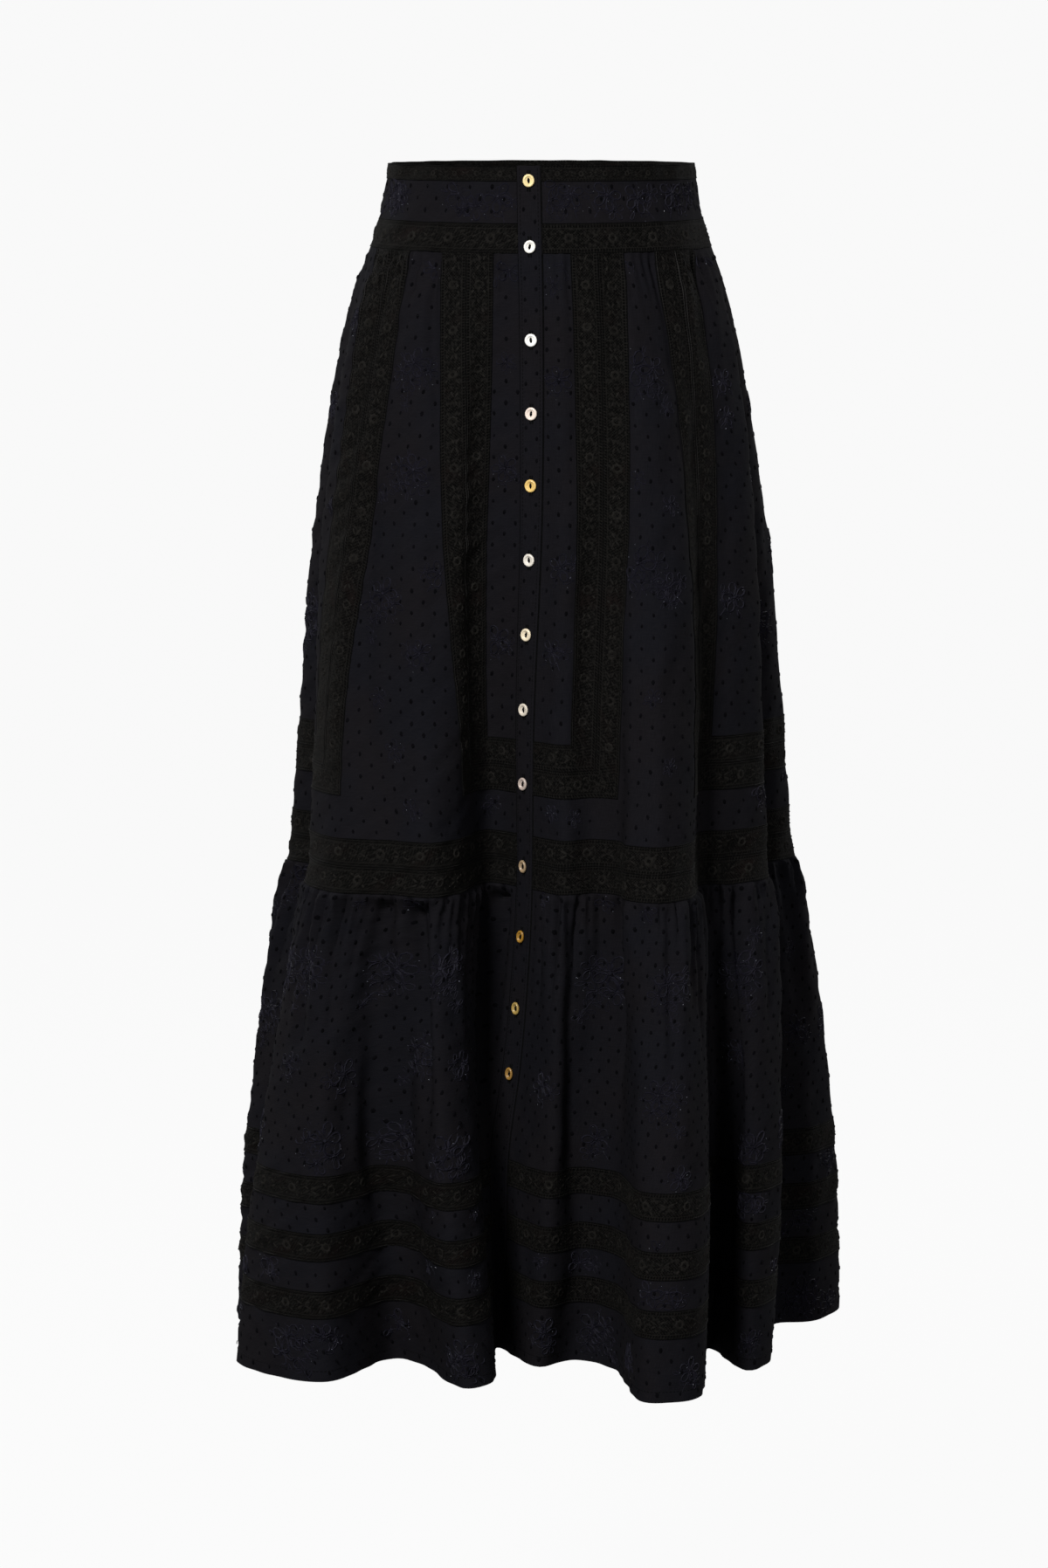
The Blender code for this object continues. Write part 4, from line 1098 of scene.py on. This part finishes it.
class SKIRT_OT_body(bpy.types.Operator):
    """The plain cloth panels between the yoke and the tier seam."""

    bl_idname = "skirt.body"
    bl_label = "Body panels"

    def execute(self, context):
        for sign, side_name in ((1, "right"), (-1, "left")):
            for name, low, high, top, bottom, cols in (
                ("front_centre_", 0, 1, YOKE_DROP, FRAME_DROP, 16),
                ("front_lower_", 0, 2, FRAME_END, SEAM_DROP, 34),
                ("front_side_", 2, 3, YOKE_DROP, SEAM_DROP, 40),
            ):
                rows = max(8, int((bottom - top) / 0.005))
                level = np.linspace(top - OVERLAP, bottom + OVERLAP, rows + 1)[:, None]
                lines = side_lines(level, sign)
                across = np.linspace(0.0, 1.0, cols + 1)[None, :]
                near = lines[low] - (OVERLAP if low else 2 * UNDERLAP if sign > 0 else UNDERLAP)
                side = near + (lines[high] + OVERLAP - near) * across
                node = name + side_name
                cloth_shell("panel_" + node, share_of(side, level, sign), level, "dotted_cloth", [node])
        for name, line, top, bottom, rows, cols in (
            ("back_panel", 4, YOKE_DROP, FRAME_DROP, 80, 190),
            ("back_lower", 3, FRAME_END, SEAM_DROP, 8, 230),
        ):
            level = np.linspace(top - OVERLAP, bottom + OVERLAP, rows + 1)[:, None]
            girth = CLOTH.girth_at(level)
            low = (side_lines(level, 1)[line] - OVERLAP) / girth
            high = 1.0 - (side_lines(level, -1)[line] - OVERLAP) / girth
            share = low + (high - low) * np.linspace(0.0, 1.0, cols + 1)[None, :]
            cloth_shell("panel_" + name, share, level, "dotted_cloth", [name])
        return {"FINISHED"}


class SKIRT_OT_ribbons(bpy.types.Operator):
    """The lace ribbons that frame the panels: down from the yoke, then level, with a mitre between."""

    bl_idname = "skirt.ribbons"
    bl_label = "Framing ribbons"

    def execute(self, context):
        for sign, side_name in ((1, "right"), (-1, "left")):
            for name, line, near in (("front_inner_", 1, 0), ("front_outer_", 1, 1),
                                     ("side_inner_", 3, 1), ("side_outer_", 3, 0)):
                self.ribbon(name + side_name, sign, line, near)
        return {"FINISHED"}

    def ribbon(self, name, sign, line, near):
        """Two long edges, each down and then level, and points between them."""
        edges = [frame_line(sign, line, number, 84, (17, 100), -UNDERLAP, OVERLAP)
                 for number in (near, near + 1)]
        across = np.linspace(0.0, 1.0, 7)[None, :]
        side, level = (first[:, None] * (1 - across) + second[:, None] * across
                       for first, second in zip(*edges))
        steps = np.hypot(np.diff(side[:, 3]), np.diff(level[:, 3]))
        along = np.concatenate([[0.0], np.cumsum(steps)])
        places = np.stack([along[:, None] + 0.0 * across, RIBBON * across + 0.0 * side], axis=-1)
        cloth_shell("ribbon_" + name, share_of(side, level, sign), level, "lace", ["lace_" + name],
                    flat=(RIBBON, float(along[-1])), places=places)


class SKIRT_OT_tier(bpy.types.Operator):
    """The two ribbons on the tier seam, the gathered cloth, and the bands down to the hem."""

    bl_idname = "skirt.tier"
    bl_label = "Tier"

    def execute(self, context):
        bands = [
            ("seam_lace_upper", SEAM_DROP, SEAM_DROP + RIBBON, 5, 420, "lace", "panel_back_lower", "hung"),
            ("seam_lace_lower", SEAM_DROP + RIBBON, TIER_DROP, 5, 420, "lace", "band_seam_lace_upper",
             "hung"),
            ("tier_cloth", TIER_DROP, FIRST_LACE_DROP, 42, 860, "dotted_cloth", "band_seam_lace_lower",
             "gathered"),
        ]
        above = "band_tier_cloth"
        for number, drop in enumerate(LACE_DROPS, 1):
            name = f"tier_strip_{number}" if number < 3 else "hem_strip"
            bottom = LACE_DROPS[number] if number < 3 else LENGTH
            lace = f"tier_lace_{number}"
            bands += [(lace, drop, drop + RIBBON, 5, 520, "lace", above, "hung"),
                      (name, drop + RIBBON, bottom, 6, 520, "dotted_cloth", "band_" + lace, "hung")]
            above = "band_" + name
        for name, top, bottom, rows, cols, slot, rests, held in bands:
            ring_shell("band_" + name, top, bottom, rows, cols, slot, [name + "_right", name + "_left"],
                       held)
        return {"FINISHED"}


class SKIRT_OT_lace_relief(bpy.types.Operator):
    """The raised figures of the lace: ring flowers with leaves, bows between them, and knots."""

    bl_idname = "skirt.lace_relief"
    bl_label = "Lace figures"

    def execute(self, context):
        heap = Heap()
        half = 0.5 * context.scene.skirt_sizes.motif_pitch
        knot = dome(0.0016, 0.0016, 0.0005, 5)
        parts = [(ring_flower(0.0043, 0.0006), 0.0, 0.0, 0.0, 1.0)]
        for pattern, middle, reach, size, angles in (
            (leaf(0.0021, 0.0044, 0.0006), 0.0, 0.0055, 0.85, (40, 140, 220, 320)),
            (leaf(0.0019, 0.0062, 0.0006), half, 0.0009, 1.0, (28, 152, 208, 332)),
        ):
            for angle in np.radians(angles):
                parts.append((pattern, middle + reach * math.cos(angle), reach * math.sin(angle),
                              angle - 0.5 * math.pi, size))
        for x, y in ((0.0105, 0.0035), (0.0105, -0.0035), (-0.0105, 0.0035), (-0.0105, -0.0035),
                     (half, 0.0048), (half, -0.0048)):
            parts.append((knot, x, y, 0.0, 1.0))
        for share, level, turn, size in lace_runs():
            for pattern, x, y, bend, scale in parts:
                self.put(heap, pattern, share, level, turn, x, y, bend, scale * size, size)
        heap.piece("lace_figures", "lace_thread", "lace")
        return {"FINISHED"}

    def put(self, heap, pattern, share, level, turn, x, y, bend, size, spread):
        """One part of the repeat at an offset along (x) and across (y) the run."""
        right = (x * np.cos(turn) - y * np.sin(turn)) * spread
        up = (x * np.sin(turn) + y * np.cos(turn)) * spread
        places = share + right / CLOTH.girth_at(level)
        wanted = (places > 0.002) & (places < 1.0 - 0.002)
        heap.stamp(pattern, places[wanted], (level - up)[wanted], turn[wanted] + bend, size, LACE_LIFT)


class SKIRT_OT_piping_and_shadow(bpy.types.Operator):
    """Painted shadow: a dark cord in each lace seam and down both placket edges; and the thin pale cord
    beside each seam.
    """

    bl_idname = "skirt.piping"
    bl_label = "Piping"

    def execute(self, context):
        sizes = context.scene.skirt_sizes
        dark, pale = Heap(), Heap()
        for share, level, sides in seam_paths():
            # Painted shadow: a dark cord down the middle of each seam stands for the shade in the seam
            cord_along(dark, share, level, 1.1 * sizes.piping_width, LACE_LIFT + 0.0004)
            for side in sides:
                cord_along(pale, share, level, 0.6 * sizes.piping_width, LACE_LIFT + 0.0003,
                           side * 1.1 * sizes.piping_width)
        # Painted shadow: dark cords down both edges of the button strip stand for the shade at its edges
        level = np.linspace(0.001, LENGTH - 0.001, 420)
        for side, width in ((EDGE, 0.0013), (-PLACKET_WIDTH - 0.0002, 0.0004)):
            cord_along(dark, np.mod(side / CLOTH.girth_at(level), 1.0), level, width, 0.0008)
        dark.piece("seam_shadow_cords", "dark_thread_and_shadow", "lace")
        pale.piece("lace_piping", "piping_cord", "lace")
        return {"FINISHED"}


class SKIRT_OT_dots(bpy.types.Operator):
    """The raised woven dots of the cloth, in half-drop columns."""

    bl_idname = "skirt.dots"
    bl_label = "Woven dots"

    def execute(self, context):
        sizes = context.scene.skirt_sizes
        share, level = lattice(sizes.dot_column, sizes.dot_pitch)
        placket_level = np.arange(0.006, LENGTH - 0.004, sizes.dot_pitch / 2)
        offset = np.where(np.arange(len(placket_level)) % 2 == 0, -0.0045, 0.0045)
        placket_side = 0.5 * PLACKET_WIDTH + offset
        wanted = inside_cloth(share, level, 0.0022)
        clear = (1.0 - share) * CLOTH.girth_at(level) > PLACKET_WIDTH
        share, level = share[wanted & clear], level[wanted & clear]
        pattern = dome(sizes.dot_width, sizes.dot_length, sizes.dot_height)
        lean = 0.25 * np.sin(7000.0 * share + 300.0 * level)
        size = 1.0 + 0.14 * np.sin(9100.0 * share + 170.0 * level)
        for name, chosen in (("upper", level < SEAM_DROP), ("tier", level >= SEAM_DROP)):
            heap = Heap()
            heap.stamp(pattern, share[chosen], level[chosen], lean[chosen], size[chosen])
            if name == "upper":
                buttons = column(BUTTONS, BUTTON_COLUMNS, "drop")
                far = np.abs(placket_level[:, None] - buttons[None, :]).min(axis=1) > 0.0085
                heap.stamp(pattern, 1.0 - placket_side[far] / CLOTH.girth_at(placket_level[far]),
                           placket_level[far], lift=sizes.placket_rise)
            heap.piece("dots_" + name, "dot_tuft", "dotted_cloth", 80.0)
        return {"FINISHED"}


class SKIRT_OT_sprigs(bpy.types.Operator):
    """Embroidered sprigs of three sizes: bent stems, outlined blossoms and leaves, seed stitches, beads."""

    bl_idname = "skirt.sprigs"
    bl_label = "Sprigs"

    def execute(self, context):
        heap, beads = Heap(), Heap()
        bead = bead_shape(0.0008, 0.0006)
        for order, (kind, places) in enumerate(sprig_places()):
            share, level = places.T
            number = np.arange(len(share)) + 7 * order
            mirror = np.where(np.sin(2.7 * number) > 0.0, 1.0, -1.0)
            turn = 0.75 * np.sin(number * GOLDEN_ANGLE)
            size = 0.92 + 0.20 * np.sin(number * 1.7) ** 2
            for pattern, x, y, bend, scale in sprig_parts(kind):
                self.place(heap, pattern, share, level, x, y, bend, scale * size, turn, mirror, size, 0.0014)
            count, reach = SPRIG_BEADS[kind]
            for step in range(count):
                angle = GOLDEN_ANGLE * step
                away = reach * math.sqrt((step + 0.5) / count)
                x, y = 0.9 * away * math.cos(angle), away * math.sin(angle)
                chosen = np.sin(number * 3.1 + 5.0 * step) > -0.6
                self.place(beads, bead, share[chosen], level[chosen], x, y, 0.0, np.ones(chosen.sum()),
                           turn[chosen], mirror[chosen], size[chosen], 0.0008)
        heap.piece("embroidered_sprigs", "sprig_thread", "dotted_cloth")
        beads.piece("sprig_beads", "bead", "shell_button", 80.0)
        return {"FINISHED"}

    def place(self, heap, pattern, share, level, x, y, bend, scale, turn, mirror, spread, margin):
        """One part of every sprig, left out where it would cross a seam."""
        px = x * mirror * spread
        right = px * np.cos(turn) - y * spread * np.sin(turn)
        up = px * np.sin(turn) + y * spread * np.cos(turn)
        places = share + right / CLOTH.girth_at(level)
        levels = level - up
        wanted = (places > 0.0) & (places < 1.0)
        wanted &= inside_cloth(np.clip(places, 0, 1), levels, margin)
        reach = np.abs(pattern[0][:, :2]).max()
        aim = turn + bend * mirror
        tip_share = places - reach * scale * np.sin(aim) / CLOTH.girth_at(level)
        tip_level = levels - reach * scale * np.cos(aim)
        wanted &= inside_cloth(np.clip(tip_share, 0, 1), tip_level, margin)
        clear = (1.0 - places) * CLOTH.girth_at(levels) > PLACKET_WIDTH + margin
        wanted &= clear
        heap.stamp(pattern, places[wanted], levels[wanted], aim[wanted], scale[wanted], mirror=mirror[wanted])


def sprig_places():
    """The sprigs of the front as they lie there, and a half-drop lattice of three sizes on the rest."""
    share, level = lattice(*SPRIG_LATTICE)
    lace_front = ((share < 0.20) | (share > 0.84)) & (level > 0.07)
    rest = np.stack([share, level], axis=-1)[~lace_front]
    kind_number = np.array([0, 0, 1, 1, 2])[np.arange(len(rest)) % 5]
    return [(kind, np.concatenate([np.array(places) / PER_METRE, rest[kind_number == number]]))
            for number, (kind, places) in enumerate(FRONT_SPRIGS)]


def sprig_parts(kind):
    """The parts of one sprig as (pattern, right, up, turn, size): stems are circle arcs of stitches."""
    stitch = ridge(0.0009, 0.0032, 0.00035)
    petal = outline(0.0040, 0.0054, 0.0008, 0.0004)
    blade = outline(0.0034, 0.0082, 0.0008, 0.0004, 1.0)
    knot = dome(0.0017, 0.0017, 0.0005, 5)
    seed_stitch = ridge(0.0006, 0.0018, 0.0003)
    parts = []

    def ahead(pattern, x, y, angle, reach, size):
        parts.append((pattern, x - reach * math.sin(angle), y + reach * math.cos(angle), angle, size))

    def stem(x, y, aim, length, curl, step=0.0027):
        count = int(length / step)
        for number in range(count):
            angle = aim + curl * (number + 0.5) / count
            ahead(stitch, x, y, angle, 0.5 * step, 1.0)
            x, y = x - step * math.sin(angle), y + step * math.cos(angle)

    blossoms, stems, blades, seeds, seed_reach = SPRIG_PARTS[kind]
    for x, y, turn, size in blossoms:
        for number in range(5):
            ahead(petal, x, y, turn + number * 0.4 * math.pi, 0.0011 * size, size)
        parts.append((knot, x, y, 0.0, size))
    for line in stems:
        stem(*line)
    for x, y, angle, size in blades:
        parts.append((blade, x, y, angle, size))
    for number in range(seeds):
        angle = GOLDEN_ANGLE * number + 0.6
        away = seed_reach * math.sqrt((number + 0.4) / seeds)
        parts.append((seed_stitch, away * math.cos(angle), away * math.sin(angle) + 0.002, 5.1 * number, 1.0))
    return parts


class SKIRT_OT_stitches(bpy.types.Operator):
    """Stitches down both edges of the button strip and round the hem, and the edges of the buttonholes."""

    bl_idname = "skirt.stitches"
    bl_label = "Stitches"

    def execute(self, context):
        heap = Heap()
        rise = context.scene.skirt_sizes.placket_rise
        stitch = ridge(0.0005, 0.0021, 0.0003)
        level = np.arange(0.003, LENGTH - 0.003, STITCH_PITCH)
        for side in (0.0021, PLACKET_WIDTH - 0.0021):
            share = 1.0 - side / CLOTH.girth_at(level)
            heap.stamp(stitch, share, level, lift=rise)
        share = np.arange(0.004, 0.992, STITCH_PITCH / HEM_ROUND)
        heap.stamp(stitch, share, np.full(len(share), LENGTH - 0.0085), 0.5 * math.pi)
        hole = ridge(0.0011, 0.0024, 0.0005)
        for drop in column(BUTTONS, BUTTON_COLUMNS, "drop"):
            steps = np.arange(-0.0078, 0.0079, 0.0006)
            for offset in (-0.0009, 0.0009):
                levels = np.clip(drop + steps, 0.001, LENGTH)
                heap.stamp(hole, 1.0 - (0.5 * PLACKET_WIDTH + offset) / CLOTH.girth_at(levels), levels,
                           0.5 * math.pi, 0.6, lift=rise)
        heap.piece("stitches", "dark_thread_and_shadow", "dotted_cloth")
        return {"FINISHED"}


class SKIRT_OT_buttons(bpy.types.Operator):
    """Thirteen oval shell buttons with a raised rim, a fish-eye hollow and the thread that crosses it."""

    bl_idname = "skirt.buttons"
    bl_label = "Buttons"

    def execute(self, context):
        threads = [self.button(number, row) for number, row in enumerate(BUTTONS, 1)]
        points = np.concatenate([points for points, faces in threads])
        faces = np.concatenate([faces + number * len(thread)
                                for number, (thread, faces) in enumerate(threads)])
        make_piece("button_threads", points, [faces], finish_named("dark_thread_and_shadow"))
        return {"FINISHED"}

    def seat(self, drop, turn, width):
        """Where a button lies: its middle on the strip, and its right, down and out."""
        rise = bpy.context.scene.skirt_sizes.placket_rise
        share = 1.0 - 0.5 * PLACKET_WIDTH / float(CLOTH.girth_at(drop))
        around = np.linspace(0.0, 2 * math.pi, 12, endpoint=False)
        level = drop + BUTTON_RADIUS * np.sin(around)
        ring_share = share + width * BUTTON_RADIUS * np.cos(around) / CLOTH.girth_at(level)
        under = CLOTH.at(ring_share, np.clip(level, 0.0, LENGTH), np.full(12, rise))
        middle = under.mean(axis=0)
        out = np.linalg.svd(under - middle)[2][2]
        low, high = CLOTH.at(np.array([share, share]), np.array([drop, drop]), np.array([0.0, 0.01]))
        out = out if out @ (high - low) > 0 else -out
        middle = middle + out * (((under - middle) @ out).max() + 0.0002)
        down = np.array([0.0, 0.0, -1.0])
        down = down - out * (down @ out)
        down = down / np.linalg.norm(down)
        right = np.cross(out, down) * -1.0
        bend = math.radians(turn)
        return (middle, right * math.cos(bend) + down * math.sin(bend),
                down * math.cos(bend) - right * math.sin(bend), out)

    def button(self, number, row):
        """The shell as circles of points whose height is the rim's, less a long hollow in the middle."""
        # The row's colour; for the lowest five buttons it is darkened with painted shade
        drop, turn, width, *colour = row
        seat, right, down, out = self.seat(drop, turn, width)
        angles = np.linspace(0.0, 2 * math.pi, BUTTON_SIDES, endpoint=False)
        radius, height = (part[:, None] for part in np.array(BUTTON_PROFILE).T)
        x = radius * BUTTON_RADIUS * width * np.cos(angles)
        y = radius * BUTTON_RADIUS * np.sin(angles)
        hollow_width, hollow_length, hollow_depth = BUTTON_HOLLOW
        hollow = np.exp(-((x / hollow_width) ** 2) - (y / hollow_length) ** 4) * hollow_depth
        count = len(BUTTON_PROFILE)
        top = (np.arange(count) < BUTTON_TOP_RINGS)[:, None]
        z = height * BUTTON_THICKNESS - np.where(top, hollow, 0.0)
        points = seat + x[..., None] * right - y[..., None] * down + z[..., None] * out
        points = np.concatenate([points[0, :1], points[1:-1].reshape(-1, 3), points[-1, :1]])
        here = np.arange(BUTTON_SIDES)
        after = (here + 1) % BUTTON_SIDES
        last = len(points) - 1
        rim = last - BUTTON_SIDES
        first = np.stack([0 * here, 1 + here, 1 + after], axis=-1)
        final = np.stack([last + 0 * here, rim + after, rim + here], axis=-1)
        name = f"button_{number:02d}"
        piece = make_piece("shell_" + name, points, [ring_faces(count - 2, BUTTON_SIDES) + 1, first, final],
                           shell_finish("shell_" + name, tuple(colour)), sharp=70.0)
        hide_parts(name)
        return self.thread(seat, right, down, out)

    def thread(self, seat, right, down, out):
        """The thread in the hollow: a flattened tube whose thickness is the sine of the way along."""
        along = np.linspace(0.0, 1.0, 9)[:, None]
        angles = np.linspace(0.0, 2 * math.pi, 9)[None, :-1]
        thick = 0.00105 * np.clip(np.sin(math.pi * along), 0.08, 1.0) ** 0.6
        x = thick * np.cos(angles)
        y = (along - 0.5) * 0.0048 + 0.0 * angles
        z = thick * 0.6 * np.sin(angles) + 0.00085 + 0.0003 * np.sin(math.pi * along)
        points = seat + x[..., None] * right + y[..., None] * down + z[..., None] * out
        rows, cols = x.shape
        start = np.arange(cols).reshape(2, 4)
        bridge = np.array([(0, 4, 7, 3)])
        far = (rows - 1) * cols
        faces = [ring_faces(rows, cols, True), start[:, ::-1], start + far, bridge, bridge[:, ::-1] + far]
        return points.reshape(-1, 3), np.concatenate(faces)


class SKIRT_OT_stage(bpy.types.Operator):
    """A pale floor that curves up into a wall all round, soft lights, and the camera of the photograph."""

    bl_idname = "skirt.stage"
    bl_label = "Stage"

    def execute(self, context):
        scene = context.scene
        self.bowl()
        scene.world = bpy.data.worlds.new("soft_sky")
        scene.world.use_nodes = True
        sky = scene.world.node_tree.nodes["Background"]
        sky.inputs[0].default_value = (1.0, 1.0, 1.0, 1.0)
        sky.inputs[1].default_value = SKY_STRENGTH
        for name, place, aim, size, power in LAMPS:
            lamp = bpy.data.lights.new(name, "AREA")
            lamp.shape = "SQUARE"
            lamp.size = size
            lamp.energy = power
            light = bpy.data.objects.new(name, lamp)
            light.location = place
            light.rotation_mode = "QUATERNION"
            light.rotation_quaternion = (Vector(aim) - Vector(place)).to_track_quat("-Z", "Y")
            scene.collection.objects.link(light)
        camera = bpy.data.cameras.new("camera")
        camera.sensor_fit = "AUTO"
        camera.sensor_width = 36.0
        camera.lens = CAMERA_LENS
        camera.clip_end = 100.0
        view = bpy.data.objects.new("camera", camera)
        view.location = CAMERA_PLACE
        view.rotation_euler = (math.radians(90.0 - CAMERA_TILT), 0.0, 0.0)
        scene.collection.objects.link(view)
        scene.camera = view
        scene.view_settings.view_transform = "Standard"
        return {"FINISHED"}

    def bowl(self):
        """A flat disc, a quarter circle up, and a straight wall, carried round the upright axis."""
        arc = np.linspace(0.0, 0.5 * math.pi, 13)
        radius = np.concatenate([[0.02, 2.0, 4.0, 6.5], 6.5 + 3.0 * np.sin(arc[1:]), [9.5, 9.5]])
        height = np.concatenate([[0.0] * 4, 3.0 - 3.0 * np.cos(arc[1:]), [4.5, 6.5]]) + FLOOR_HEIGHT
        angles = np.linspace(0.0, 2 * math.pi, 73)
        points = np.stack([radius[:, None] * np.cos(angles), radius[:, None] * np.sin(angles),
                           height[:, None] + 0.0 * angles], axis=-1)
        mesh = bpy.data.meshes.new("floor")
        mesh.from_pydata(points.reshape(-1, 3).tolist(), [], grid_faces(len(radius), len(angles)).tolist())
        mesh.shade_smooth()
        material, tree, shader = nodes_of("pale_floor")
        tone = noise_of(tree, coordinates(tree, "Object"), 1.5)
        tree.links.new(blend_of(tree, tone, (0.020, 0.020, 0.020), (0.022, 0.022, 0.022)),
                       shader.inputs["Base Color"])
        shader.inputs["Roughness"].default_value = 1.0
        shader.inputs["Specular IOR Level"].default_value = 0.0
        shader.inputs["Emission Color"].default_value = (1.0, 1.0, 1.0, 1.0)
        seen = link_new(tree, "ShaderNodeLightPath").outputs["Is Camera Ray"]
        glow = math_of(tree, "ADD", math_of(tree, "MULTIPLY", seen, FLOOR_GLOW_TO_CAMERA), FLOOR_GLOW)
        tree.links.new(glow, shader.inputs["Emission Strength"])
        mesh.materials.append(material)
        floor = bpy.data.objects.new("floor", mesh)
        bpy.context.scene.collection.objects.link(floor)


OPERATORS = (
    SKIRT_OT_stage,
    SKIRT_OT_yoke,
    SKIRT_OT_placket,
    SKIRT_OT_body,
    SKIRT_OT_ribbons,
    SKIRT_OT_tier,
    SKIRT_OT_lace_relief,
    SKIRT_OT_piping_and_shadow,
    SKIRT_OT_dots,
    SKIRT_OT_sprigs,
    SKIRT_OT_stitches,
    SKIRT_OT_buttons,
)


class SKIRT_PT_panel(bpy.types.Panel):
    """The steps of the skirt and the sizes and colours that they read."""

    bl_idname = "SKIRT_PT_panel"
    bl_label = "Tiered skirt"
    bl_space_type = "VIEW_3D"
    bl_region_type = "UI"
    bl_category = "Skirt"

    def draw(self, context):
        for operator in OPERATORS:
            self.layout.operator(operator.bl_idname)
        for group in (context.scene.skirt_sizes, context.scene.skirt_colours):
            for name in group.__annotations__:
                self.layout.prop(group, name)


def register():
    """Register the classes and hang the property groups on the scene."""
    for item in (SkirtSizes, SkirtColours, *OPERATORS, SKIRT_PT_panel):
        bpy.utils.register_class(item)
    bpy.types.Scene.skirt_sizes = bpy.props.PointerProperty(type=SkirtSizes)
    bpy.types.Scene.skirt_colours = bpy.props.PointerProperty(type=SkirtColours)


def unregister():
    """Take the property groups off and unregister the classes."""
    del bpy.types.Scene.skirt_colours
    del bpy.types.Scene.skirt_sizes
    for item in reversed((SkirtSizes, SkirtColours, *OPERATORS, SKIRT_PT_panel)):
        bpy.utils.unregister_class(item)


def main():
    """Register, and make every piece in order."""
    register()
    for operator in OPERATORS:
        group, name = operator.bl_idname.split(".")
        getattr(getattr(bpy.ops, group), name)()


if __name__ == "__main__":
    main()
